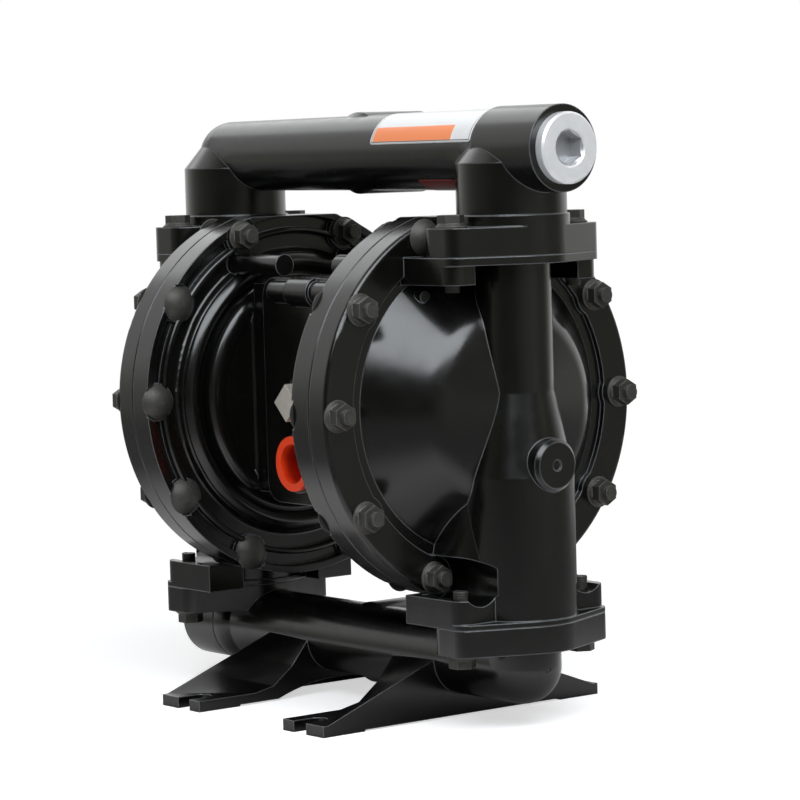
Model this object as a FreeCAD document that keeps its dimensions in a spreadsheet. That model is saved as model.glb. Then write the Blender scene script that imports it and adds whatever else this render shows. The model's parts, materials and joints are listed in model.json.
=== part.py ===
import FreeCAD, Part
import os
import re
import Sketcher
from FreeCAD import Placement, Rotation, Vector

# Air-operated double diaphragm pump, metal bodied, with one inch ports.
# X runs along the diaphragm shaft, Z is up, and the floor is Z = 0. The two pump chambers stand
# at +X and -X and are one casting turned half round. Sizes are in millimetres and degrees.

doc = FreeCAD.newDocument("double_diaphragm_pump")
sheet = doc.addObject("Spreadsheet::Sheet", "sizes")

SIZES = {
    # Levels, each above the one before: floor, bottom pipe, bottom joint, shaft axis, top joint, top pipe
    "suction_pipe_height": 34.5,
    "bottom_joint_rise": 25.5,
    "chamber_rise": 118.5,
    "top_joint_rise": 83.5,
    "discharge_pipe_rise": 57.5,
    # Chambers: the round flanges and their bolt circle
    "rim_radius": 109.3,
    "rim_flat_drop": 4.3,
    "rim_edge_round": 2.5,
    "rim_gap": 0.5,
    "bolt_edge_distance": 8.0,
    "bolt_step": 34.0,
    "bolt_hole_radius": 4.3,
    # Chambers: the parting plane, and thicknesses along the shaft
    "parting_offset": 86.5,
    "air_rim_thick": 15.5,
    "fluid_rim_thick": 15.5,
    "air_seat_depth": 1.5,
    "air_groove_depth": 5.0,
    "parting_chamfer": 0.7,
    "middle_face_rise": 9.0,
    "rim_groove_depth": 3.3,
    # Air cover form
    "lip_width": 4.8,
    "rib_edge_distance": 11.3,
    "rib_width": 3.5,
    "step_one_edge_distance": 26.3,
    "step_one_width": 14.0,
    "step_slope": 2.6,
    "step_crest_round": 3.5,
    "step_root_round": 2.0,
    "rib_edge_round": 1.0,
    "air_wall": 5.0,
    "head_seat_radius": 11.0,
    # Fluid cover form
    "land_width": 18.9,
    "nut_pad_radius": 12.5,
    "nut_room_length": 43.0,
    "dome_edge_distance": 25.8,
    "dome_flank_width": 29.5,
    "dome_flank_rise": 27.5,
    "dome_crown_rise": 17.5,
    "dome_shoulder_round": 24.0,
    "dome_pip_radius": 3.2,
    "dome_pip_reach": 7.0,
    "dome_pip_depth": -44.5,
    "dome_pip_rise": 61.8,
    "cover_wall": 5.5,
    "bead_edge_distance": 14.3,
    "bead_width": 7.0,
    "bead_depth": 3.0,
    "membrane_recess_width": 10.0,
    # Valve columns
    "column_reach": 29.5,
    "riser_radius": 21.0,
    "riser_bore": 14.5,
    "drum_radius": 31.0,
    "drum_rise": 81.0,
    "neck_rise": 46.0,
    "hood_setback": 19.5,
    "hood_base_radius": 42.0,
    "hood_tip_radius": 18.0,
    "hood_rise": 136.0,
    "port_boss_radius": 14.6,
    "port_boss_rise": 6.5,
    "port_boss_reach": 33.5,
    "port_boss_chamfer": 2.0,
    "port_boss_mark_radius": 3.0,
    "port_boss_mark_depth": 1.2,
    # Two eared flanges
    "flange_bolt_offset": 43.0,
    "flange_bolt_hole": 4.4,
    "ear_reach": 10.0,
    "ear_half_width": 12.0,
    "ear_corner": 8.5,
    "flange_round_radius": 32.0,
    "cover_top_flange": 15.0,
    "cover_top_web": 4.5,
    "cover_bottom_flange": 16.0,
    "cover_bottom_web": 3.0,
    "top_ear_inner": 36.5,
    "bottom_ear_inner": 28.0,
    "cover_root_depth": 6.5,
    "discharge_flange": 16.0,
    "discharge_drum_rise": 6.0,
    "suction_flange": 15.0,
    # Discharge manifold
    "pipe_radius_far": 20.9,
    "pipe_radius_near": 22.4,
    "pipe_bore": 14.0,
    "column_radius": 30.5,
    "column_shoulder_drop": 7.0,
    "column_tip_radius": 13.0,
    "column_mitre_rise": 21.5,
    "column_bore": 19.5,
    "end_boss_radius": 23.8,
    "end_boss_setback": 5.5,
    "end_boss_reach": 44.5,
    "rear_boss_radius": 23.6,
    "rear_boss_face": 40.0,
    "rear_boss_start": -4.0,
    "rear_boss_lead": 5.0,
    "rear_port_radius": 15.15,
    "rear_port_depth": 20.0,
    # Suction manifold and feet
    "suction_pipe_radius": 21.5,
    "suction_boss_reach": 36.5,
    "boss_seam_reach": 4.5,
    "boss_seam_section": 0.7,
    "foot_inner": 41.3,
    "foot_width": 37.7,
    "foot_reach": 100.0,
    "foot_tip_height": 6.5,
    "foot_root_height": 35.0,
    "foot_root_offset": 20.0,
    "foot_toe_length": 40.0,
    "foot_arch_rise": 9.0,
    "foot_arch_half": 46.0,
    "foot_arch_wall": 12.0,
    "foot_relief": 1.0,
    "pad_length": 29.0,
    "slot_setback": 10.0,
    "slot_width": 11.7,
    "slot_depth": 18.0,
    # Threaded plugs in the ends of both manifolds
    "plug_thread_radius": 16.6,
    "plug_thread_length": 15.0,
    "plug_collar_radius": 19.5,
    "plug_collar_length": 6.0,
    "plug_socket_flats": 17.0,
    "plug_socket_depth": 10.0,
    "plug_chamfer": 1.2,
    "thread_clearance": 0.06,
    # Ball valves
    "ball_radius": 15.9,
    "ball_lift": 8.0,
    "ball_clearance": 0.15,
    "ball_side_room": 2.95,
    "seat_radius": 23.0,
    "seat_bore": 12.0,
    "seat_height": 8.0,
    "seat_lip": 2.0,
    "seat_clearance": 0.2,
    "stop_bar_radius": 3.0,
    "stop_gap": 0.4,
    "ring_mid_radius": 18.2,
    "ring_section": 1.2,
    "ring_groove_clearance": 0.1,
    # Centre section
    "block_setback": 19.0,
    "block_face": 45.0,
    "neck_half_depth": 37.6,
    "block_rise": 70.5,
    "block_drop": 60.5,
    "block_corner": 12.0,
    "pilot_boss_drop": 8.0,
    "pilot_boss_radius": 6.5,
    "pilot_collar_radius": 8.5,
    "tie_boss_radius": 6.5,
    "tie_boss_rise": 77.5,
    "tie_boss_depth": 40.0,
    "tie_boss_length": 35.0,
    # Shaft and diaphragms
    "shaft_radius": 10.0,
    "stud_radius": 7.0,
    "shaft_end_gap": 7.0,
    "stroke": 9.0,
    "bush_wall": 3.0,
    "bush_length": 24.0,
    "running_clearance": 0.05,
    "air_plate_radius": 52.0,
    "air_plate_thick": 5.0,
    "fluid_plate_radius": 50.0,
    "fluid_plate_thick": 7.0,
    "plate_edge": 2.0,
    "diaphragm_thick": 3.2,
    "convolution_rise": 5.0,
    "convolution_half_width": 5.0,
    "plate_gap": 0.2,
    "plate_nut_flats": 24.0,
    "plate_nut_height": 9.0,
    # Pilot rod
    "pilot_radius": 3.0,
    "pilot_travel": 3.0,
    "pilot_height_offset": 32.0,
    "pilot_end_gap": 0.4,
    # Air valve on the back of the centre section
    "valve_half_length": 47.0,
    "valve_depth": 36.0,
    "valve_half_height": 32.5,
    "gasket_thick": 1.0,
    "spool_radius": 11.0,
    "spool_groove_depth": 4.0,
    "spool_half_length": 36.0,
    "cap_thick": 9.0,
    "cap_radius": 17.0,
    "valve_screw_radius": 3.0,
    "valve_screw_edge": 8.0,
    "valve_screw_grip": 12.0,
    "valve_screw_head": 5.0,
    # Air inlet plug and exhaust cap on the front of the centre section
    "inlet_boss_radius": 15.0,
    "inlet_boss_rise": 6.0,
    "inlet_thread_radius": 9.5,
    "inlet_square": 15.3,
    "inlet_plug_rise": 11.0,
    "inlet_depth": 16.0,
    "exhaust_drop": 35.2,
    "exhaust_boss_radius": 17.2,
    "exhaust_boss_rise": 9.5,
    "exhaust_port_radius": 13.0,
    "exhaust_port_depth": 24.0,
    "cap_flange_radius": 15.9,
    "cap_flange_thick": 4.0,
    "cap_cup_radius": 12.9,
    "cap_cup_depth": 14.0,
    "cap_wall": 1.6,
    # Fasteners
    "bolt_radius": 4.0,
    "head_radius": 10.3,
    "head_rise": 5.0,
    "cover_bolt_length": 41.0,
    "flange_bolt_length": 35.0,
    "nut_flats": 13.0,
    "nut_height": 8.0,
    "nut_flange_radius": 8.95,
    "nut_flange_height": 2.4,
    "nut_flange_rim": 0.8,
    "nut_flange_slope": 0.6,
    "flange_head_height": 7.0,
    "fastener_gap": 0.05,
}

# Sizes that follow from the ones above.
RELATED = {
    "bottom_joint_height": "suction_pipe_height + bottom_joint_rise",
    "chamber_height": "bottom_joint_height + chamber_rise",
    "top_joint_height": "chamber_height + top_joint_rise",
    "discharge_pipe_height": "top_joint_height + discharge_pipe_rise",
    "air_rim_face": "parting_offset - air_rim_thick",
    "air_bolt_seat": "air_rim_face + air_seat_depth",
    "air_groove_floor": "air_rim_face + air_groove_depth",
    "fluid_rim_face": "parting_offset + fluid_rim_thick",
    "middle_half_width": "air_rim_face - middle_face_rise",
    "rim_groove_floor": "fluid_rim_face - rim_groove_depth",
    "step_one_face": "air_rim_face",
    "dome_shoulder_offset": "fluid_rim_face + dome_flank_rise",
    "dome_tip_offset": "dome_shoulder_offset + dome_crown_rise",
    "cover_flange_root": "fluid_rim_face - cover_root_depth",
    "column_offset": "fluid_rim_face + column_reach",
    "port_boss_face": "column_offset + port_boss_reach",
    "end_boss_start": "column_offset - end_boss_setback",
    "end_boss_face": "column_offset + end_boss_reach",
    "suction_boss_face": "column_offset + suction_boss_reach",
    "hood_offset": "column_offset - hood_setback",
    "rim_flat_rise": "rim_radius - rim_flat_drop",
    "bolt_circle_radius": "rim_radius - bolt_edge_distance",
    "rib_outer_radius": "rim_radius - rib_edge_distance",
    "step_one_radius": "rim_radius - step_one_edge_distance",
    "step_two_radius": "step_one_radius - step_one_width",
    "land_inner_radius": "rim_radius - land_width",
    "dome_base_radius": "rim_radius - dome_edge_distance",
    "dome_shoulder_radius": "dome_base_radius - dome_flank_width",
    "bead_outer_radius": "rim_radius - bead_edge_distance",
    "bead_inner_radius": "bead_outer_radius - bead_width",
    "membrane_recess_radius": "bead_inner_radius - membrane_recess_width",
    "drum_top_height": "bottom_joint_height + drum_rise",
    "drum_shoulder_height": "drum_top_height + neck_rise",
    "hood_tip_height": "bottom_joint_height + hood_rise",
    "port_boss_height": "drum_top_height + port_boss_rise",
    "ear_end": "flange_bolt_offset + ear_reach",
    "column_shoulder_height": "discharge_pipe_height - column_shoulder_drop",
    "column_tip_height": "column_shoulder_height + column_mitre_rise",
    "foot_outer": "foot_inner + foot_width",
    "slot_inner": "foot_inner + slot_setback",
    "slot_outer": "slot_inner + slot_width",
    "valve_bore": "ball_radius + ball_side_room",
    "block_half_width": "middle_half_width - block_setback",
    "block_top": "chamber_height + block_rise",
    "block_bottom": "chamber_height - block_drop",
    "pilot_boss_height": "block_top - pilot_boss_drop",
    "tie_boss_height": "chamber_height + tie_boss_rise",
    "inlet_boss_face": "block_face + inlet_boss_rise",
    "inlet_plug_face": "inlet_boss_face + inlet_plug_rise",
    "exhaust_height": "chamber_height - exhaust_drop",
    "exhaust_boss_face": "block_face + exhaust_boss_rise",
    "valve_bottom": "chamber_height - valve_half_height",
    "valve_top": "chamber_height + valve_half_height",
    "diaphragm_plane": "parting_offset",
    "shaft_half_length": "diaphragm_plane - shaft_end_gap",
}

for row, (name, number) in enumerate(SIZES.items(), start=1):
    sheet.set("A%d" % row, name)
    sheet.set("B%d" % row, repr(number))
    sheet.setAlias("B%d" % row, name)
doc.recompute()
reckoner = doc.addObject("Spreadsheet::Sheet", "reckoner")

WORD = re.compile(r"[a-z_]+")


def val(formula):
    """The number that a formula of named sizes gives."""
    reckoner.set("A1", "=" + bound(formula))
    reckoner.recompute()
    return float(reckoner.get("A1"))


def bound(formula):
    """The formula as an expression on the sheet, with related sizes written out."""
    def written_out(word):
        name = word.group(0)
        if name in RELATED:
            return "(%s)" % bound(RELATED[name])
        return "sizes." + name if name in SIZES else name

    return WORD.sub(written_out, formula)


def bind(thing, prop, formula):
    thing.setExpression(prop, bound(formula))


TURN = {
    "X": Rotation(Vector(0, 1, 0), 90),
    "Y": Rotation(Vector(1, 0, 0), -90),
    "Z": Rotation(),
}


def put(thing, at, along="Z", turn=None):
    """Places a thing by three formulas, with its length along a named axis."""
    thing.Placement = Placement(Vector(), turn or TURN[along])
    for letter, formula in zip("xyz", at):
        bind(thing, "Placement.Base." + letter, formula)
    return thing


def cylinder(name, radius, length, at, along="Z"):
    thing = doc.addObject("Part::Cylinder", name)
    bind(thing, "Radius", radius)
    bind(thing, "Height", length)
    return put(thing, at, along)


def cone(name, start_radius, end_radius, length, at, along="Z"):
    thing = doc.addObject("Part::Cone", name)
    bind(thing, "Radius1", start_radius)
    bind(thing, "Radius2", end_radius)
    bind(thing, "Height", length)
    return put(thing, at, along)


def ball(name, radius, at, along="Z"):
    thing = doc.addObject("Part::Sphere", name)
    bind(thing, "Radius", radius)
    return put(thing, at, along)


def torus(name, mid_radius, section, at, along="Z"):
    thing = doc.addObject("Part::Torus", name)
    bind(thing, "Radius1", mid_radius)
    bind(thing, "Radius2", section)
    return put(thing, at, along)


def block(name, low, high):
    """A box between two corners, each three formulas."""
    thing = doc.addObject("Part::Box", name)
    for prop, first, last in zip(("Length", "Width", "Height"), low, high):
        bind(thing, prop, "(%s) - (%s)" % (last, first))
    return put(thing, low)


def prism(name, flats, length, at, along="Z", sides=6, turn=None):
    """A regular prism, sized across its flats."""
    thing = doc.addObject("Part::Prism", name)
    thing.Polygon = sides
    bind(thing, "Circumradius", "(%s) / 2 / cos(%s)" % (flats, 180 / sides))
    bind(thing, "Height", length)
    return put(thing, at, along, turn)


def fuse(name, things):
    thing = doc.addObject("Part::MultiFuse", name)
    thing.Shapes = things
    thing.Refine = True
    return thing


def common(name, things):
    thing = doc.addObject("Part::MultiCommon", name)
    thing.Shapes = things
    return thing


def cut(name, base, tools):
    thing = doc.addObject("Part::Cut", name)
    thing.Base = base
    thing.Tool = tools[0] if len(tools) == 1 else fuse(name + "_tools", tools)
    thing.Refine = True
    return thing


def origin_plane(body, role):
    return next(feature for feature in body.Origin.OriginFeatures if feature.Role == role)


def outline(body, name, role, points, at=None):
    """A closed sketch of straight runs through points, each point two formulas."""
    sketch = body.newObject("Sketcher::SketchObject", name)
    sketch.AttachmentSupport = (origin_plane(body, role), "")
    sketch.MapMode = "FlatFace"
    places = [Vector(val(first), val(second), 0) for first, second in points]
    for start, end in zip(places, places[1:] + places[:1]):
        sketch.addGeometry(Part.LineSegment(start, end), False)
    count = len(places)
    for number in range(count):
        sketch.addConstraint(Sketcher.Constraint("Coincident", number, 2, (number + 1) % count, 1))
    for number, (point, place) in enumerate(zip(points, places)):
        for kind, formula, size in zip(("DistanceX", "DistanceY"), point, (place.x, place.y)):
            index = sketch.addConstraint(Sketcher.Constraint(kind, -1, 1, number, 1, size))
            label = "%s_%d" % (kind[-1].lower(), number)
            sketch.renameConstraint(index, label)
            sketch.setExpression("Constraints." + label, bound(formula))
    if at is not None:
        bind(sketch, "AttachmentOffset.Base.z", at)
    return sketch


def revolved(name, points, rise="chamber_height"):
    """A body turned about the shaft axis. Points are (offset along X, radius)."""
    body = doc.addObject("PartDesign::Body", name)
    sketch = outline(body, name + "_profile", "XZ_Plane", points)
    turning = body.newObject("PartDesign::Revolution", name + "_turned")
    turning.Profile = sketch
    turning.ReferenceAxis = (sketch, ["H_Axis"])
    turning.Angle = 360
    body.Tip = turning
    return put(body, ("0", "0", rise))


def turned_upright(name, points, at):
    """A body turned about a vertical axis. Points are (radius, height)."""
    body = doc.addObject("PartDesign::Body", name)
    sketch = outline(body, name + "_profile", "XZ_Plane", points)
    turning = body.newObject("PartDesign::Revolution", name + "_turned")
    turning.Profile = sketch
    turning.ReferenceAxis = (sketch, ["V_Axis"])
    turning.Angle = 360
    body.Tip = turning
    return put(body, at)


def padded(name, role, points, length, at):
    """A body padded from an outline, centred on its plane and placed by three formulas."""
    body = doc.addObject("PartDesign::Body", name)
    sketch = outline(body, name + "_outline", role, points)
    pad = body.newObject("PartDesign::Pad", name + "_pad")
    pad.Profile = sketch
    bind(pad, "Length", length)
    pad.Midplane = True
    body.Tip = pad
    return put(body, at)


def rounded(name, base, radius, wanted):
    """The base with the wanted edges rounded. wanted tells an edge by its geometry."""
    doc.recompute()
    size = val(radius)
    edges = [(number, size, size) for number, edge in enumerate(base.Shape.Edges, start=1) if wanted(edge)]
    if not edges:
        raise RuntimeError(name + " has no edge to round")
    thing = doc.addObject("Part::Fillet", name)
    thing.Base = base
    thing.Edges = edges
    return thing


def circle_edge(edge, radius, offset, axis="x", slack=0.02):
    """True for a circular edge of a radius whose plane lies at an offset along an axis."""
    if not isinstance(edge.Curve, Part.Circle):
        return False
    place = getattr(edge.Curve.Center, axis)
    return abs(edge.Curve.Radius - radius) < slack and abs(place - offset) < slack


# The overall length is taken from plug face to plug face, and the middle of it is the origin.
near_end = "end_boss_face + plug_collar_length"
far_end = "suction_boss_face + plug_collar_length"
FRAME_SHIFT = "((%s) - (%s)) / 2" % (near_end, far_end)
SIDES = {"right": 0, "left": 180}
parts = {}


def part(label, thing, side="right"):
    """Registers a finished sub-part, turned half round when it belongs to the left side."""
    thing.Label = label
    turn = SIDES[side]
    if thing.TypeId == "PartDesign::Body" or thing.TypeId.startswith("Part::"):
        old = thing.Placement.Base
        formulas = {path.split(".")[-1]: text
                    for path, text in thing.ExpressionEngine if "Placement.Base" in path}
        signs = -1 if turn else 1
        for letter in "xyz":
            formula = formulas.get(letter, "%r" % getattr(old, letter))
            formula = "(%s)" % formula
            if letter != "z":
                formula = "%d * %s" % (signs, formula)
            if letter == "x":
                formula = formula + " - " + bound(FRAME_SHIFT)
            thing.setExpression("Placement.Base." + letter, formula)
        half_turn = Rotation(Vector(0, 0, 1), turn)
        thing.Placement = Placement(thing.Placement.Base, half_turn.multiply(thing.Placement.Rotation))
    parts[label] = thing
    return thing


SIGNS = {"front": "-1", "back": "1"}
BOLT_ANGLES = {
    "level_front": "180", "upper_front": "180 - bolt_step", "lower_front": "180 + bolt_step",
    "bottom_front": "180 + 2 * bolt_step", "level_back": "0", "upper_back": "bolt_step",
    "lower_back": "-bolt_step", "bottom_back": "-2 * bolt_step",
}
TURNED_ROUND_ANGLES = {"top_front": "180 - 2 * bolt_step", "top_back": "2 * bolt_step"}
ALL_ANGLES = {**BOLT_ANGLES, **TURNED_ROUND_ANGLES}


def on_circle(angle):
    """Formulas for the Y and Z of a cover bolt."""
    return "bolt_circle_radius * cos(%s)" % angle, "chamber_height + bolt_circle_radius * sin(%s)" % angle


def bolt_cylinders(name, radius, start, end):
    """One cylinder at each cover bolt, between two offsets along the shaft axis."""
    things = []
    for word, angle in ALL_ANGLES.items():
        across, height = on_circle(angle)
        reach = "(%s) - (%s)" % (end, start)
        thing = cylinder(name + "_" + word, radius, reach, (start, across, height), "X")
        things.append(thing)
    return things


def rim_top_cut(name):
    """The flat on top of the chamber flanges."""
    top = "chamber_height + rim_flat_rise"
    low = ("0", "-rim_radius", top)
    high = ("2 * rim_radius", "rim_radius", top + " + rim_radius")
    return block(name, low, high)


def bead_groove(name, way):
    """The ring shaped recess that clamps the edge of the diaphragm, deeper where the bead lies."""
    shallow = "parting_offset + %s * (diaphragm_thick / 2 + plate_gap)" % way
    deep = "parting_offset + %s * bead_depth" % way
    outside = "parting_offset - %s * 1" % way
    return revolved(name, [
        (outside, "membrane_recess_radius"), (shallow, "membrane_recess_radius"),
        (shallow, "bead_inner_radius"), (deep, "bead_inner_radius"),
        (deep, "bead_outer_radius"), (outside, "bead_outer_radius"),
    ])


def air_cover(side):
    """Dished casting between the centre section and a diaphragm, with stepped rings on its face."""
    name = "air_cover_" + side
    rib_inner = "rib_outer_radius - rib_width"
    lip_inner = "rim_radius - lip_width"
    shape = revolved(name + "_disc", [
        ("parting_offset", "0"), ("parting_offset", "rim_radius - parting_chamfer"),
        ("parting_offset - parting_chamfer", "rim_radius"),
        ("air_rim_face", "rim_radius"), ("air_rim_face", lip_inner),
        ("air_groove_floor", lip_inner), ("air_groove_floor", "rib_outer_radius"),
        ("air_bolt_seat", "rib_outer_radius"), ("air_bolt_seat", rib_inner),
        ("air_groove_floor", rib_inner), ("air_groove_floor", "step_one_radius + step_slope"),
        ("step_one_face", "step_one_radius"), ("step_one_face", "step_two_radius"),
        ("middle_half_width", "step_two_radius - step_slope"), ("middle_half_width", "0"),
    ])
    for word, radius, rings in (
            ("crest", "step_crest_round", (("step_one_radius", "step_one_face"),
                                           ("step_two_radius - step_slope", "middle_half_width"))),
            ("root", "step_root_round", (("step_two_radius", "step_one_face"),
                                         ("step_one_radius + step_slope", "air_groove_floor"))),
            ("rib", "rib_edge_round", (("rib_outer_radius", "air_bolt_seat"), (rib_inner, "air_bolt_seat"),
                                       (lip_inner, "air_rim_face")))):
        places = [(val(ring), val(plane)) for ring, plane in rings]
        shape = rounded(name + "_" + word, shape, radius,
                        lambda edge: any(circle_edge(edge, ring, plane) for ring, plane in places))
    cavity = revolved(name + "_cavity", [
        ("parting_offset", "0"), ("parting_offset", "step_one_radius + step_slope"),
        ("air_groove_floor + air_wall", "step_one_radius"),
        ("step_one_face + air_wall", "step_one_radius - air_wall"),
        ("step_one_face + air_wall", "step_two_radius - air_wall / 2"),
        ("middle_half_width + air_wall", "step_two_radius - air_wall - step_slope"),
        ("middle_half_width + air_wall", "0"),
    ])
    pads = common(name + "_head_pads", [
        fuse(name + "_head_pad_rounds",
             bolt_cylinders(name + "_pad", "head_seat_radius", "air_bolt_seat", "parting_offset - 1")),
        cylinder(name + "_pad_limit", "rim_radius - lip_width / 2", "parting_offset",
                 ("0", "0", "chamber_height"), "X"),
    ])
    bosses = [pads]
    for word, sign in SIGNS.items():
        at = ("middle_half_width - tie_boss_length", sign + " * tie_boss_depth", "tie_boss_height")
        bosses.append(cylinder(name + "_tie_boss_" + word, "tie_boss_radius",
                               "air_groove_floor - middle_half_width + tie_boss_length + 1", at, "X"))
    tools = [cavity, bead_groove(name + "_bead_groove", "-1")]
    tools += bolt_cylinders(name + "_hole", "bolt_hole_radius", "air_bolt_seat - 1", "parting_offset + 1")
    tools += bolt_cylinders(name + "_seat", "head_seat_radius", "air_rim_face - 1", "air_bolt_seat")
    tools.append(rim_top_cut(name + "_flat"))
    hub = ("middle_half_width - 1", "0", "chamber_height")
    tools.append(cylinder(name + "_hub_hole", "shaft_radius + bush_wall", "air_wall + 2", hub, "X"))
    pilot = ("middle_half_width - 1", "0", "chamber_height + pilot_height_offset")
    tools.append(cylinder(name + "_pilot_hole", "pilot_radius + pilot_end_gap", "air_wall + 2", pilot, "X"))
    part(name, cut(name + "_body", fuse(name + "_solid", [shape] + bosses), tools), side)


def flange_plate(name, thickness, low):
    """A two eared flange: a round pad and ears whose edges run tangent to it."""
    lean = "(atan(ear_end / ear_half_width) - acos(flange_round_radius / hypot(ear_end; ear_half_width)))"
    wide = "flange_round_radius * cos(%s)" % lean
    along = "flange_round_radius * sin(%s)" % lean
    corners = [("ear_half_width", "ear_end"), (wide, along),
               (wide, "-(%s)" % along), ("ear_half_width", "-ear_end")]
    mirrored = [("-(%s)" % across, "-(%s)" % reach) for across, reach in corners]
    middle = "(%s) + (%s) / 2" % (low, thickness)
    plate = padded(name + "_ears", "XY_Plane", corners + mirrored, thickness, ("column_offset", "0", middle))
    far = val("column_offset")
    reach = val("ear_end")
    half = val("ear_half_width")

    def at_corner(edge):
        place = edge.CenterOfMass
        at_end = abs(abs(place.y) - reach) < 0.01 and abs(abs(place.x - far) - half) < 0.01
        return at_end and edge.Length < reach / 2

    plate = rounded(name + "_ear_corners", plate, "ear_corner", at_corner)
    pad = cylinder(name + "_round", "flange_round_radius", thickness, ("column_offset", "0", low))
    return fuse(name, [plate, pad])


def cover_ears(name, inner, low, high):
    """The two thick bolt ears of a cover flange, rooted in the chamber flange."""
    ears = []
    for word, sign in SIGNS.items():
        edges = sorted([sign + " * ear_end", sign + " * (%s)" % inner], key=val)
        corner_low = ("cover_flange_root", edges[0], low)
        corner_high = ("column_offset + ear_half_width", edges[1], high)
        ear = block(name + "_" + word, corner_low, corner_high)
        far = val("column_offset + ear_half_width")
        reach = val("ear_end")

        def outer_corner(edge):
            place = edge.CenterOfMass
            return abs(abs(place.y) - reach) < 0.01 and abs(place.x - far) < 0.01

        ears.append(rounded(name + "_" + word + "_corner", ear, "ear_corner", outer_corner))
    return ears


def flange_holes(name, radius, low, high):
    """The two vertical bolt holes of a flange."""
    holes = []
    for word, sign in SIGNS.items():
        at = ("column_offset", sign + " * flange_bolt_offset", low)
        holes.append(cylinder(name + "_" + word, radius, "(%s) - (%s)" % (high, low), at))
    return holes


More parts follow.
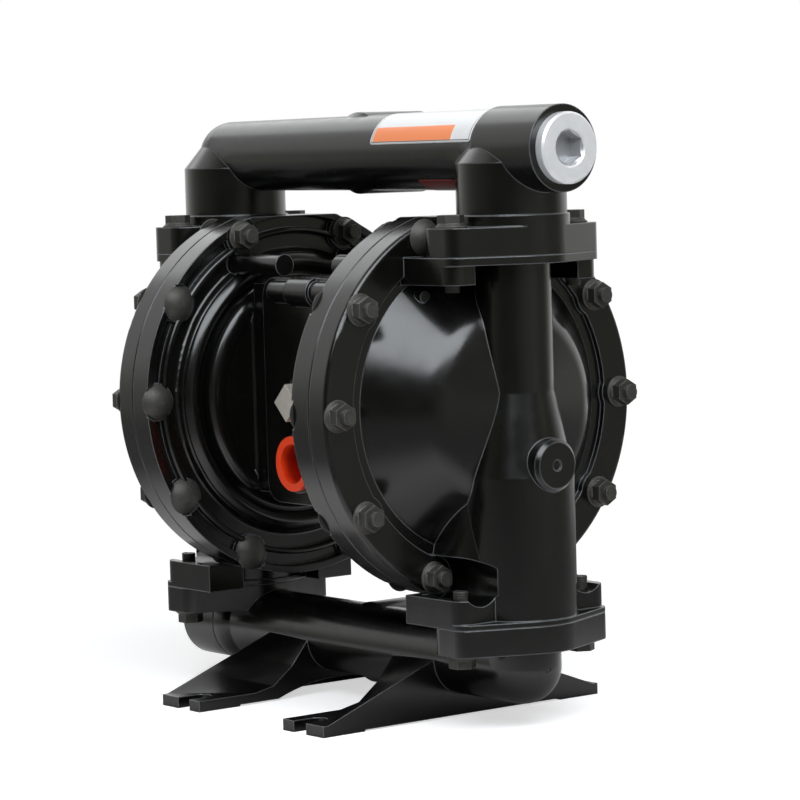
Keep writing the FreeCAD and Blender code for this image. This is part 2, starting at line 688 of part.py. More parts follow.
def fluid_cover(side):
    """Outer chamber casting: domed shell, valve drum below, riser above and two eared flanges."""
    name = "fluid_cover_" + side
    shape = revolved(name + "_dome", [
        ("parting_offset", "0"), ("parting_offset", "rim_radius - parting_chamfer"),
        ("parting_offset + parting_chamfer", "rim_radius"),
        ("fluid_rim_face", "rim_radius"), ("fluid_rim_face", "land_inner_radius"),
        ("rim_groove_floor", "land_inner_radius"), ("rim_groove_floor", "dome_base_radius"),
        ("dome_shoulder_offset", "dome_shoulder_radius"), ("dome_tip_offset", "0"),
    ])
    shoulder = val("dome_shoulder_radius")
    shoulder_at = val("dome_shoulder_offset")
    shape = rounded(name + "_shoulder", shape, "dome_shoulder_round",
                    lambda edge: circle_edge(edge, shoulder, shoulder_at))
    rim = val("rim_radius")
    rim_at = val("fluid_rim_face")
    shape = rounded(name + "_rim_edge", shape, "rim_edge_round", lambda edge: circle_edge(edge, rim, rim_at))
    pads = common(name + "_nut_pads", [
        fuse(name + "_nut_pad_rounds",
             bolt_cylinders(name + "_pad", "nut_pad_radius", "parting_offset + 1", "fluid_rim_face")),
        cylinder(name + "_pad_limit", "rim_radius - rim_edge_round", "fluid_rim_face",
                 ("0", "0", "chamber_height"), "X"),
    ])
    axis = ("column_offset", "0")
    drum = cylinder(name + "_drum", "drum_radius", "drum_top_height - bottom_joint_height",
                    axis + ("bottom_joint_height",))
    neck = cone(name + "_neck", "drum_radius", "riser_radius", "drum_shoulder_height - drum_top_height",
                axis + ("drum_top_height",))
    hood_low = "bottom_joint_height + cover_bottom_flange"
    hood = common(name + "_hood", [
        cone(name + "_hood_cone", "hood_base_radius", "hood_tip_radius", "hood_tip_height - (%s)" % hood_low,
             ("hood_offset", "0", hood_low)),
        block(name + "_hood_limit", ("cover_flange_root", "-ear_end", "bottom_joint_height"),
              ("2 * column_offset", "ear_end", "top_joint_height")),
    ])
    riser = cylinder(name + "_riser", "riser_radius", "top_joint_height - drum_top_height",
                     axis + ("drum_top_height",))
    boss_edge = "port_boss_face - port_boss_chamfer"
    boss = [
        cylinder(name + "_port_boss", "port_boss_radius", boss_edge + " - column_offset",
                 axis + ("port_boss_height",), "X"),
        cone(name + "_port_boss_rim", "port_boss_radius", "port_boss_radius - port_boss_chamfer",
             "port_boss_chamfer",
             (boss_edge, "0", "port_boss_height"), "X"),
    ]
    webs = [
        flange_plate(name + "_top_web", "cover_top_web", "top_joint_height - cover_top_web"),
        flange_plate(name + "_bottom_web", "cover_bottom_web", "bottom_joint_height"),
    ]
    root = block(name + "_web_root", ("cover_flange_root", "-ear_end", "top_joint_height - cover_top_web"),
                 ("column_offset", "ear_end", "top_joint_height"))
    ears = cover_ears(name + "_top_ear", "top_ear_inner", "top_joint_height - cover_top_flange",
                      "top_joint_height")
    ears += cover_ears(name + "_bottom_ear", "bottom_ear_inner", "bottom_joint_height", hood_low)
    pip = cylinder(name + "_dome_pip", "dome_pip_radius", "fluid_rim_face + dome_pip_reach - parting_offset",
                   ("parting_offset", "dome_pip_depth", "chamber_height + dome_pip_rise"), "X")
    solid = fuse(name + "_solid", [shape, pads, drum, neck, hood, riser, root, pip] + boss + webs + ears)

    cavity = revolved(name + "_cavity", [
        ("parting_offset - 1", "0"), ("parting_offset - 1", "dome_base_radius - cover_wall / 2"),
        ("parting_offset + cover_wall", "dome_base_radius - cover_wall / 2"),
        ("dome_shoulder_offset - 1.3 * cover_wall", "dome_shoulder_radius - cover_wall / 2"),
        ("dome_tip_offset - 1.3 * cover_wall", "0"),
    ])
    tools = [cavity, bead_groove(name + "_bead_groove", "1")]
    drum_bore = "valve_bore"
    drum_depth = "drum_top_height - bottom_joint_height - cover_wall"
    tools.append(cylinder(name + "_drum_bore", drum_bore, drum_depth,
                          axis + ("bottom_joint_height",)))
    tools.append(cylinder(name + "_riser_bore", "riser_bore", "top_joint_height - chamber_height + 1",
                          axis + ("chamber_height",)))
    tools.append(cylinder(name + "_seat_recess", "seat_radius + seat_clearance", "seat_height + 1",
                          axis + ("bottom_joint_height - 1",)))
    tools += bolt_cylinders(name + "_hole", "bolt_hole_radius", "parting_offset - 1", "fluid_rim_face + 1")
    clear_hole = "bolt_radius + fastener_gap"
    tools += flange_holes(name + "_top_hole", clear_hole, "top_joint_height - cover_top_flange - 1",
                          "top_joint_height + 1")
    tools += flange_holes(name + "_bottom_hole", clear_hole, "bottom_joint_height - 1", hood_low + " + 1")
    for word in SIGNS:
        across, height = on_circle(ALL_ANGLES["bottom_" + word])
        tools.append(cylinder(name + "_nut_room_" + word, "nut_pad_radius", "nut_room_length",
                              ("fluid_rim_face", across, height), "X"))
    groove = torus(name + "_ring_groove", "ring_mid_radius", "ring_section + ring_groove_clearance",
                   axis + ("top_joint_height - ring_section",))
    mark = cylinder(name + "_port_boss_mark", "port_boss_mark_radius", "2 * port_boss_mark_depth",
                    ("port_boss_face - port_boss_mark_depth", "0", "port_boss_height"), "X")
    tools += [groove, mark, rim_top_cut(name + "_flat")]
    body = cut(name + "_body", solid, tools)
    bar = cylinder(name + "_stop_bar", "stop_bar_radius", "2 * (%s) + 1" % drum_bore,
                   ("column_offset", "-(%s) - 0.5" % drum_bore, STOP_HEIGHT % "bottom_joint_height"), "Y")
    part(name, fuse(name + "_with_stop", [body, bar]), side)


# A ball rests where its sphere meets the bore edge of its seat, plus a small clearance.
BALL_REST = "seat_height + sqrt(ball_radius ^ 2 - seat_bore ^ 2) + ball_clearance"
STOP_HEIGHT = "%s + " + BALL_REST + " + ball_radius + ball_lift + stop_gap + stop_bar_radius"


def rear_boss(name, height):
    """Port boss across the middle of a pipe, facing the back, with a tapered front."""
    lead = "rear_boss_start - rear_boss_lead"
    return [
        cylinder(name + "_rear_boss", "rear_boss_radius", "rear_boss_face - rear_boss_start",
                 ("0", "rear_boss_start", height), "Y"),
        cone(name + "_rear_boss_front", "rear_boss_radius - rear_boss_lead", "rear_boss_radius",
             "rear_boss_lead",
             ("0", lead, height), "Y"),
    ]


def discharge_manifold():
    """Top pipe on two columns, one end mitred, the other end bossed for a plug, and a rear port."""
    name = "discharge_manifold"
    height = "discharge_pipe_height"
    pipe = cone(name + "_pipe", "pipe_radius_far", "pipe_radius_near", "2 * column_offset",
                ("-column_offset", "0", height), "X")
    end = ball(name + "_round_end", "pipe_radius_far", ("-column_offset", "0", height), "X")
    boss = cylinder(name + "_end_boss", "end_boss_radius", "end_boss_face - end_boss_start",
                    ("end_boss_start", "0", height), "X")
    solids = [pipe, end, boss] + rear_boss(name, height)
    tools = []
    plate_top = "top_joint_height + discharge_flange"
    drum_top = plate_top + " + discharge_drum_rise"
    for side, turn in SIDES.items():
        sign = "-1" if turn else "1"
        at = (sign + " * column_offset", "0")
        tag = name + "_" + side
        solids.append(cylinder(tag + "_column", "column_radius", "column_shoulder_height - (%s)" % drum_top,
                               at + (drum_top,)))
        solids.append(cone(tag + "_mitre", "column_radius", "column_tip_radius",
                           "column_tip_height - column_shoulder_height", at + ("column_shoulder_height",)))
        solids.append(cylinder(tag + "_drum", "flange_round_radius", "discharge_drum_rise",
                               at + (plate_top,)))
        plate = flange_plate(tag + "_flange", "discharge_flange", "top_joint_height")
        plate.Placement = Placement(Vector(), Rotation(Vector(0, 0, 1), turn))
        solids.append(plate)
        tools.append(cylinder(tag + "_bore", "column_bore", height + " - top_joint_height",
                              at + ("top_joint_height",)))
        tools.append(cylinder(tag + "_seat_recess", "seat_radius + seat_clearance", "seat_height + 1",
                              at + ("top_joint_height - 1",)))
        for word, way in SIGNS.items():
            tools.append(cylinder(tag + "_hole_" + word, "flange_bolt_hole", "discharge_flange + 2",
                                  (at[0], way + " * flange_bolt_offset", "top_joint_height - 1")))
        room = sorted([sign + " * (fluid_rim_face + rim_gap)", sign + " * (fluid_rim_face - 10)"], key=val)
        tools.append(block(tag + "_rim_room", (room[0], "-ear_end", "top_joint_height - 1"),
                           (room[1], "ear_end", "chamber_height + rim_flat_rise + rim_gap")))
    tools.append(cylinder(name + "_pipe_bore", "pipe_bore", "column_offset + end_boss_face + 1",
                          ("-column_offset", "0", height), "X"))
    thread = "plug_thread_radius + thread_clearance"
    tools.append(cylinder(name + "_end_thread", thread, "plug_thread_length + 2",
                          ("end_boss_face - plug_thread_length - 1", "0", height), "X"))
    tools.append(cylinder(name + "_rear_thread", "rear_port_radius", "rear_port_depth + 1",
                          ("0", "rear_boss_face - rear_port_depth", height), "Y"))
    tools.append(cylinder(name + "_rear_bore", "pipe_bore - 1", "rear_boss_face - rear_port_depth + 1",
                          ("0", "0", height), "Y"))
    body = cut(name + "_body", fuse(name + "_solid", solids), tools)
    bars = []
    for side, turn in SIDES.items():
        sign = "-1" if turn else "1"
        at = (sign + " * column_offset", "-column_bore - 0.5", STOP_HEIGHT % "top_joint_height")
        bars.append(cylinder(name + "_stop_bar_" + side, "stop_bar_radius", "2 * column_bore + 1", at, "Y"))
    part(name, fuse(name + "_with_stops", [body] + bars))


def foot_pair(name, side):
    """One cross foot: two splayed toes with open slots, joined under the pipe by a web."""
    body = doc.addObject("PartDesign::Body", name)
    edge = "foot_tip_height"
    outer = [("foot_reach", "0"), ("foot_reach", edge), ("foot_reach - foot_tip_height / 2", edge)]
    inner = [("foot_reach", "0"), ("foot_reach", edge), ("foot_reach - foot_toe_length", edge)]
    run = "(foot_reach - foot_tip_height / 2 - foot_root_offset)"
    rise = "(foot_root_height - foot_tip_height)"
    inner_run = "(foot_reach - foot_toe_length - foot_root_offset)"
    for share, sag in ((1 / 3, 0.72), (2 / 3, 0.33)):
        outer.append(("foot_reach - foot_tip_height / 2 - %r * %s" % (share, run),
                      "%s + %r * %s" % (edge, share, rise)))
        inner.append(("foot_reach - foot_toe_length - %r * %s" % (share, inner_run),
                      "%s + %r * %s * %r" % (edge, share, rise, 1 - sag)))
    outer.append(("foot_root_offset", "foot_root_height"))
    inner.append(("foot_root_offset", "foot_root_height"))
    sections = []
    for word, points, offset in (("outer", outer, "foot_outer"), ("inner", inner, "foot_inner")):
        mirrored = [("-(%s)" % across, height) for across, height in reversed(points)]
        sections.append(outline(body, name + "_" + word, "YZ_Plane", points + mirrored, offset))
    loft = body.newObject("PartDesign::AdditiveLoft", name + "_loft")
    loft.Profile = sections[0]
    loft.Sections = [sections[1]]
    loft.Ruled = True
    body.Tip = loft
    body.Placement = Placement(Vector(), Rotation(Vector(0, 0, 1), SIDES[side]))
    return body


def suction_manifold():
    """Bottom pipe under two eared flanges, with the feet cast on and a rear port."""
    name = "suction_manifold"
    height = "suction_pipe_height"
    solids = [
        cylinder(name + "_pipe", "suction_pipe_radius", "2 * column_offset",
                 ("-column_offset", "0", height), "X"),
        ball(name + "_near_elbow", "suction_pipe_radius", ("column_offset", "0", height), "X"),
        cylinder(name + "_end_boss", "end_boss_radius", "suction_boss_face - column_offset",
                 ("-suction_boss_face", "0", height), "X"),
        ball(name + "_far_elbow", "end_boss_radius", ("-column_offset", "0", height), "X"),
    ] + rear_boss(name, height)
    tools = []
    for side, turn in SIDES.items():
        sign = "-1" if turn else "1"
        at = (sign + " * column_offset", "0")
        tag = name + "_" + side
        low = "bottom_joint_height - suction_flange"
        solids.append(cylinder(tag + "_elbow_neck", "suction_pipe_radius", low + " - suction_pipe_height + 1",
                               at + ("suction_pipe_height",)))
        plate = flange_plate(tag + "_flange", "suction_flange", low)
        plate.Placement = Placement(Vector(), Rotation(Vector(0, 0, 1), turn))
        solids.append(plate)
        solids.append(foot_pair(tag + "_feet", side))
        tools.append(cylinder(tag + "_bore", "pipe_bore", "bottom_joint_height - suction_pipe_height + 1",
                              at + ("suction_pipe_height",)))
        groove = torus(tag + "_ring_groove", "ring_mid_radius", "ring_section + ring_groove_clearance",
                       at + ("bottom_joint_height - ring_section",))
        tools.append(groove)
        edges = sorted([sign + " * foot_inner", sign + " * foot_outer"], key=val)
        arch = "((foot_arch_half ^ 2 + foot_arch_rise ^ 2) / (2 * foot_arch_rise))"
        tools.append(cylinder(tag + "_arch", arch, "foot_outer - foot_inner - foot_arch_wall",
                              (edges[0] + (" + foot_arch_wall" if turn else " - 0"), "0",
                               "foot_arch_rise - " + arch), "X"))
        middle = "foot_reach - pad_length"
        tools.append(block(tag + "_relief", (edges[0], "-(%s)" % middle, "-1"),
                           (edges[1], middle, "foot_relief")))
        slots = sorted([sign + " * slot_inner", sign + " * slot_outer"], key=val)
        half = "((slot_outer - slot_inner) / 2)"
        for word, way in SIGNS.items():
            tools.append(cylinder(tag + "_hole_" + word, "flange_bolt_hole", "suction_flange + 2",
                                  (at[0], way + " * flange_bolt_offset", low + " - 1")))
            inner_end = way + " * (foot_reach - slot_depth + %s)" % half
            ends = sorted([way + " * (foot_reach + 1)", inner_end], key=val)
            tools.append(block(tag + "_slot_" + word, (slots[0], ends[0], "-1"),
                               (slots[1], ends[1], "2 * foot_root_height")))
            tools.append(cylinder(tag + "_slot_end_" + word, half, "2 * foot_root_height",
                                  ("(%s + %s) / 2" % (slots[0], slots[1]), inner_end, "-1")))
    tools.append(torus(name + "_boss_seam", "end_boss_radius", "boss_seam_section",
                       ("-column_offset - boss_seam_reach", "0", height), "X"))
    tools.append(cylinder(name + "_pipe_bore", "pipe_bore", "column_offset + suction_boss_face + 1",
                          ("-suction_boss_face - 1", "0", height), "X"))
    thread = "plug_thread_radius + thread_clearance"
    tools.append(cylinder(name + "_end_thread", thread, "plug_thread_length + 2",
                          ("-suction_boss_face - 1", "0", height), "X"))
    tools.append(cylinder(name + "_rear_thread", "rear_port_radius", "rear_port_depth + 1",
                          ("0", "rear_boss_face - rear_port_depth", height), "Y"))
    tools.append(cylinder(name + "_rear_bore", "pipe_bore - 1", "rear_boss_face - rear_port_depth + 1",
                          ("0", "0", height), "Y"))
    part(name, cut(name + "_body", fuse(name + "_solid", solids), tools))


def end_plug(name, face, height, side):
    """Threaded plug with a round collar and a hexagon socket."""
    shape = revolved(name + "_turned_body", [
        ("%s - plug_thread_length" % face, "0"),
        ("%s - plug_thread_length" % face, "plug_thread_radius - plug_chamfer"),
        ("%s - plug_thread_length + plug_chamfer" % face, "plug_thread_radius"), (face, "plug_thread_radius"),
        (face, "plug_collar_radius"),
        ("%s + plug_collar_length - plug_chamfer" % face, "plug_collar_radius"),
        ("%s + plug_collar_length" % face, "plug_collar_radius - plug_chamfer"),
        ("%s + plug_collar_length" % face, "0"),
    ], height)
    start = "%s + plug_collar_length - plug_socket_depth" % face
    socket = prism(name + "_socket", "plug_socket_flats", "plug_socket_depth + 1", (start, "0", height), "X")
    lead = cone(name + "_socket_lead", "plug_socket_flats / 2", "plug_socket_flats / 2 + 2 * plug_chamfer",
                "2 * plug_chamfer",
                ("%s + plug_collar_length - 2 * plug_chamfer + 0.3" % face, "0", height), "X")
    part(name, cut(name + "_body", shape, [socket, lead]), side)


def valve_set():
    """Seats, balls and sealing rings of the four ball valves."""
    for side, turn in SIDES.items():
        for stage, joint in (("suction", "bottom_joint_height"), ("discharge", "top_joint_height")):
            axis = ("column_offset", "0", joint)
            seat = turned_upright("%s_seat_%s_body" % (stage, side), [
                ("seat_bore", "0"), ("seat_radius", "0"), ("seat_radius", "seat_height"),
                ("seat_bore + seat_lip", "seat_height"), ("seat_bore", "seat_height - 2 * ball_clearance"),
            ], axis)
            part("%s_seat_%s" % (stage, side), seat, side)
            at = ("column_offset", "0", joint + " + " + BALL_REST)
            name = "%s_ball_%s" % (stage, side)
            part(name, ball(name + "_body", "ball_radius", at), side)
            ring = torus("%s_ring_%s_body" % (stage, side), "ring_mid_radius", "ring_section",
                         ("column_offset", "0", joint + " - ring_section - ring_groove_clearance / 2"))
            part("%s_ring_%s" % (stage, side), ring, side)


def centre_section():
    """Air motor body between the air covers, with the shaft bore, ports and pilot bore."""
    name = "centre_body"
    plate = block(name + "_plate", ("-block_half_width", "-block_face", "block_bottom"),
                  ("block_half_width", "block_face", "block_top"))
    plate = rounded(name + "_plate_corners", plate, "block_corner",
                    lambda edge: abs(edge.Length - val("2 * block_face")) < 0.01)
    neck = block(name + "_neck",
                 ("-middle_half_width", "-neck_half_depth", "block_bottom + block_corner / 3"),
                 ("middle_half_width", "neck_half_depth", "block_top - block_corner / 3"))
    pilot_bar = cylinder(name + "_pilot_bar", "pilot_boss_radius", "1.4 * block_half_width",
                         ("-0.7 * block_half_width", "-block_face", "pilot_boss_height"), "X")
    pilot_collar = cylinder(name + "_pilot_collar", "pilot_collar_radius", "block_half_width / 2",
                            ("-block_half_width / 4", "-block_face", "pilot_boss_height"), "X")
    inlet = cylinder(name + "_inlet_boss", "inlet_boss_radius", "inlet_boss_face - neck_half_depth",
                     ("0", "-inlet_boss_face", "chamber_height"), "Y")
    exhaust = cylinder(name + "_exhaust_boss", "exhaust_boss_radius", "exhaust_boss_face - neck_half_depth",
                       ("0", "-exhaust_boss_face", "exhaust_height"), "Y")
    solid = fuse(name + "_solid", [plate, neck, pilot_bar, pilot_collar, inlet, exhaust])
    bush_bore = "shaft_radius + running_clearance + bush_wall"
    tools = [
        cylinder(name + "_shaft_bore", "shaft_radius + bush_wall / 2", "2 * middle_half_width + 2",
                 ("-middle_half_width - 1", "0", "chamber_height"), "X"),
        cylinder(name + "_pilot_bore", "pilot_radius + running_clearance", "2 * middle_half_width + 2",
                 ("-middle_half_width - 1", "0", "chamber_height + pilot_height_offset"), "X"),
        cylinder(name + "_inlet_bore", "inlet_thread_radius + thread_clearance", "inlet_depth + 1",
                 ("0", "-inlet_boss_face - 1", "chamber_height"), "Y"),
        cylinder(name + "_exhaust_bore", "exhaust_port_radius", "exhaust_port_depth + 1",
                 ("0", "-exhaust_boss_face - 1", "exhaust_height"), "Y"),
    ]
    for side, turn in SIDES.items():
        start = "-middle_half_width - 1" if turn else "middle_half_width - bush_length"
        tools.append(cylinder(name + "_bush_seat_" + side, bush_bore, "bush_length + 1",
                              (start, "0", "chamber_height"), "X"))
        bush = revolved("shaft_bush_" + side + "_body", [
            ("middle_half_width - bush_length", "shaft_radius + running_clearance"),
            ("middle_half_width", "shaft_radius + running_clearance"),
            ("middle_half_width", "shaft_radius + bush_wall"),
            ("middle_half_width - bush_length", "shaft_radius + bush_wall"),
        ])
        part("shaft_bush_" + side, bush, side)
    for place, (across, height) in VALVE_SCREWS.items():
        tools.append(cylinder(name + "_screw_hole_" + place, "valve_screw_radius + fastener_gap",
                              "valve_screw_grip + 2",
                              (across, "block_face - valve_screw_grip - 1", height), "Y"))
    part(name, cut(name + "_body", solid, tools))


SCREW_ACROSS = "(valve_half_length - valve_screw_edge)"
VALVE_SCREWS = {
    "low_left": ("-" + SCREW_ACROSS, "valve_bottom + valve_screw_edge"),
    "low_right": (SCREW_ACROSS, "valve_bottom + valve_screw_edge"),
    "top_left": ("-" + SCREW_ACROSS, "valve_top - valve_screw_edge"),
    "top_right": (SCREW_ACROSS, "valve_top - valve_screw_edge"),
}


def air_valve():
    """Air valve on the back of the centre section: housing, gasket, spool, end caps and screws."""
    start = "block_face + gasket_thick"
    middle = "block_face + gasket_thick + valve_depth / 2"
    housing = block("air_valve_block", ("-valve_half_length", start, "valve_bottom"),
                    ("valve_half_length", start + " + valve_depth", "valve_top"))
    gasket = block("air_valve_gasket_sheet", ("-valve_half_length", "block_face", "valve_bottom"),
                   ("valve_half_length", start, "valve_top"))
    holes = []
    for place, (across, height) in VALVE_SCREWS.items():
        holes.append(cylinder("air_valve_hole_" + place, "valve_screw_radius + 5 * fastener_gap",
                              "valve_depth + gasket_thick + 2",
                              (across, "block_face - 1", height), "Y"))
    spool_bore = cylinder("air_valve_bore", "spool_radius + running_clearance", "2 * valve_half_length + 2",
                          ("-valve_half_length - 1", middle, "chamber_height"), "X")
    part("air_valve_housing", cut("air_valve_housing_body", housing, holes + [spool_bore]))
    part("air_valve_gasket", cut("air_valve_gasket_body", gasket, holes))
    land = "spool_half_length / 3"
    spool = revolved("air_valve_spool_body", [
        ("-spool_half_length", "0"), ("-spool_half_length", "spool_radius"),
        ("-2 * (%s)" % land, "spool_radius"), ("-2 * (%s)" % land, "spool_radius - spool_groove_depth"),
        ("-(%s) / 2" % land, "spool_radius - spool_groove_depth"), ("-(%s) / 2" % land, "spool_radius"),
        ("(%s) / 2" % land, "spool_radius"), ("(%s) / 2" % land, "spool_radius - spool_groove_depth"),
        ("2 * (%s)" % land, "spool_radius - spool_groove_depth"), ("2 * (%s)" % land, "spool_radius"),
        ("spool_half_length", "spool_radius"), ("spool_half_length", "0"),
    ])
    bind(spool, "Placement.Base.y", middle)
    part("air_valve_spool", spool)
    for side in SIDES:
        way = middle if side == "right" else "-(%s)" % middle
        cap = cylinder("air_valve_cap_%s_body" % side, "cap_radius", "cap_thick",
                       ("valve_half_length", way, "chamber_height"), "X")
        part("air_valve_cap_" + side, cap, side)


def air_ports():
    """Square headed plug in the air inlet and cup shaped cap in the exhaust."""
    thread = cylinder("air_inlet_plug_thread", "inlet_thread_radius", "inlet_depth - 1",
                      ("0", "-inlet_boss_face", "chamber_height"), "Y")
    head = block("air_inlet_plug_head", ("-inlet_square / 2", "-inlet_plug_face", "-inlet_square / 2"),
                 ("inlet_square / 2", "-inlet_boss_face", "inlet_square / 2"))
    turned = fuse("air_inlet_plug_square",
                  [head, cylinder("air_inlet_plug_core", "inlet_square / 3", "inlet_depth",
                                                         ("0", "-inlet_plug_face + 1", "0"), "Y")])
    turned.Placement = Placement(Vector(), Rotation(Vector(0, 1, 0), 45))
    bind(turned, "Placement.Base.z", "chamber_height")
    part("air_inlet_plug", fuse("air_inlet_plug_body", [thread, turned]))

    flange = cylinder("exhaust_cap_flange", "cap_flange_radius", "cap_flange_thick",
                      ("0", "-exhaust_boss_face - cap_flange_thick", "exhaust_height"), "Y")
    cup = cylinder("exhaust_cap_cup", "cap_cup_radius", "cap_cup_depth",
                   ("0", "-exhaust_boss_face - 1", "exhaust_height"), "Y")
    hollow = cylinder("exhaust_cap_hollow", "cap_cup_radius - cap_wall",
                      "cap_cup_depth + cap_flange_thick - cap_wall",
                      ("0", "-exhaust_boss_face - cap_flange_thick - 1", "exhaust_height"), "Y")
    part("exhaust_cap", cut("exhaust_cap_body", fuse("exhaust_cap_solid", [flange, cup]), [hollow]))


def shaft_set():
    """Shaft, clamping plates, plate nuts and the two diaphragms, and the pilot rod."""
    shaft = cylinder("diaphragm_shaft_rod", "shaft_radius", "2 * shaft_half_length",
                     ("-shaft_half_length", "0", "chamber_height"), "X")
    inner = "diaphragm_plane - diaphragm_thick / 2 - plate_gap"
    outer = "diaphragm_plane + diaphragm_thick / 2 + plate_gap"
    studs = cylinder("diaphragm_shaft_studs", "stud_radius",
                     "2 * (%s + fluid_plate_thick + plate_nut_height)" % outer,
                     ("-(%s + fluid_plate_thick + plate_nut_height)" % outer, "0", "chamber_height"), "X")
    part("diaphragm_shaft", fuse("diaphragm_shaft_body", [shaft, studs]))
    hole = "stud_radius + fastener_gap"
    for side in SIDES:
        start = "shaft_half_length"
        part("air_side_plate_" + side, revolved("air_side_plate_%s_body" % side, [
            (start, hole), (start, "air_plate_radius / 2"), (inner + " - plate_edge", "air_plate_radius"),
            (inner, "air_plate_radius"), (inner, hole),
        ]), side)
        part("fluid_side_plate_" + side, revolved("fluid_side_plate_%s_body" % side, [
            (outer, hole), (outer, "fluid_plate_radius"), (outer + " + plate_edge", "fluid_plate_radius"),
            (outer + " + fluid_plate_thick", "fluid_plate_radius / 2"),
            (outer + " + fluid_plate_thick", hole),
        ]), side)
        nut = prism("plate_nut_%s_hexagon" % side, "plate_nut_flats", "plate_nut_height",
                    (outer + " + fluid_plate_thick", "0", "chamber_height"), "X")
        bore = cylinder("plate_nut_%s_bore" % side, hole, "plate_nut_height + 2",
                        (outer + " + fluid_plate_thick - 1", "0", "chamber_height"), "X")
        part("plate_nut_" + side, cut("plate_nut_%s_body" % side, nut, [bore]), side)
        low = "diaphragm_plane - diaphragm_thick / 2"
        high = "diaphragm_plane + diaphragm_thick / 2"
        bead = "bead_depth - plate_gap / 2"
        fold = "(air_plate_radius + membrane_recess_radius + convolution_half_width) / 2"
        flat = "membrane_recess_radius + 1"
        part("diaphragm_" + side, revolved("diaphragm_%s_body" % side, [
            (low, hole), (low, "air_plate_radius + 3"),
            (low + " + convolution_rise", fold + " - convolution_half_width"),
            (low + " + convolution_rise", fold + " + convolution_half_width"), (low, flat),
            (low, "bead_inner_radius + plate_gap"),
            ("parting_offset - (%s)" % bead, "bead_inner_radius + plate_gap"),
            ("parting_offset - (%s)" % bead, "bead_outer_radius - plate_gap"),
            ("parting_offset + %s" % bead, "bead_outer_radius - plate_gap"),
            ("parting_offset + %s" % bead, "bead_inner_radius + plate_gap"),
            (high, "bead_inner_radius + plate_gap"), (high, flat),
            (high + " + convolution_rise", fold + " + convolution_half_width"),
            (high + " + convolution_rise", fold + " - convolution_half_width"),
            (high, "air_plate_radius + 3"), (high, hole),
        ]), side)
    rod_end = "(%s - air_plate_thick - stroke - pilot_travel - pilot_end_gap)" % inner
    rod = cylinder("pilot_rod_body", "pilot_radius", "2 * " + rod_end,
                   ("-" + rod_end, "0", "chamber_height + pilot_height_offset"), "X")
    part("pilot_rod", rod)


def hexagon_head(flats, height, flange_radius, flange_height):
    """Hexagon with a sloped washer flange, standing on Z = 0."""
    disc = Part.makeCone(flange_radius, flats / 2 + val("nut_flange_slope"), flange_height)
    lip = Part.makeCylinder(flange_radius, val("nut_flange_rim"))
    corner = flats / 3 ** 0.5
    points = [Rotation(Vector(0, 0, 1), 60 * number).multVec(Vector(corner, 0, 0)) for number in range(7)]
    tower = Part.Face(Part.makePolygon(points)).extrude(Vector(0, 0, height))
    crown = Part.makeCone(corner + height, flats / 2, height + corner - flats / 2)
    return tower.common(crown).fuse([disc, lip]).removeSplitter()


def fastener_group(label, form, spots, side="right"):
    """Copies of one fastener form at spots, each a base point and a direction."""
    copies = []
    for base, way in spots:
        copy = form.copy()
        copy.Placement = Placement(base, Rotation(Vector(0, 0, 1), way))
        copies.append(copy)
    group = doc.addObject("Part::Feature", label + "_group")
    group.Shape = Part.makeCompound(copies)
    part(label, group, side)


def fasteners():
    """Carriage bolts and flange nuts of the chamber flanges, and the hexagon bolts of the ports."""
    shank = val("bolt_radius")
    flats, height = val("nut_flats"), val("nut_height")
    flange, lift = val("nut_flange_radius"), val("nut_flange_height")
    rise, wide = val("head_rise"), val("head_radius")
    crown = (wide ** 2 + rise ** 2) / (2 * rise)
    length = val("cover_bolt_length")
    dome = Part.makeSphere(crown, Vector(0, 0, rise - crown)).common(Part.makeCylinder(wide, rise))
    carriage = dome.fuse(Part.makeCylinder(shank, length, Vector(0, 0, 0), Vector(0, 0, -1)))
    nut = hexagon_head(flats, height, flange, lift)
    nut = nut.cut(Part.makeCylinder(shank + val("fastener_gap"), height))
    port_length = val("flange_bolt_length")
    port_bolt = hexagon_head(flats, val("flange_head_height"), flange, lift)
    port_bolt = port_bolt.fuse(Part.makeCylinder(shank, port_length, Vector(0, 0, 0), Vector(0, 0, -1)))
    outward, inward, up, down = Vector(1, 0, 0), Vector(-1, 0, 0), Vector(0, 0, 1), Vector(0, 0, -1)
    for side in SIDES:
        heads, nuts = [], []
        for angles, head_at, head_way, nut_at in (
                (BOLT_ANGLES, "air_bolt_seat", inward, "fluid_rim_face"),
                (TURNED_ROUND_ANGLES, "fluid_rim_face", outward, "air_bolt_seat")):
            for angle in angles.values():
                across, up_at = (val(formula) for formula in on_circle(angle))
                heads.append((Vector(val(head_at), across, up_at), head_way))
                nuts.append((Vector(val(nut_at), across, up_at), -head_way))
        fastener_group("cover_bolts_" + side, carriage, heads, side)
        fastener_group("cover_nuts_" + side, nut, nuts, side)
    for stage, seat, way in (
            ("discharge", "top_joint_height + discharge_flange", up),
            ("suction", "bottom_joint_height - suction_flange", down)):
        spots = [(Vector(x * val("column_offset"), y * val("flange_bolt_offset"), val(seat)), way)
                 for x in (1, -1) for y in (1, -1)]
        fastener_group(stage + "_flange_bolts", port_bolt, spots)
    screw_head = val("valve_screw_head")
    screw = Part.makeCylinder(val("valve_screw_radius") * 1.6, screw_head)
    depth = val("valve_depth + gasket_thick + valve_screw_grip")
    screw = screw.fuse(Part.makeCylinder(val("valve_screw_radius"), depth, Vector(0, 0, 0), down))
    socket = Part.makeCylinder(val("valve_screw_radius") * 0.8, screw_head, Vector(0, 0, screw_head / 2))
    screw = screw.cut(socket)
    back = val("block_face + gasket_thick + valve_depth")
    spots = [(Vector(val(across), back, val(height)), Vector(0, 1, 0))
             for across, height in VALVE_SCREWS.values()]
    fastener_group("air_valve_screws", screw, spots)


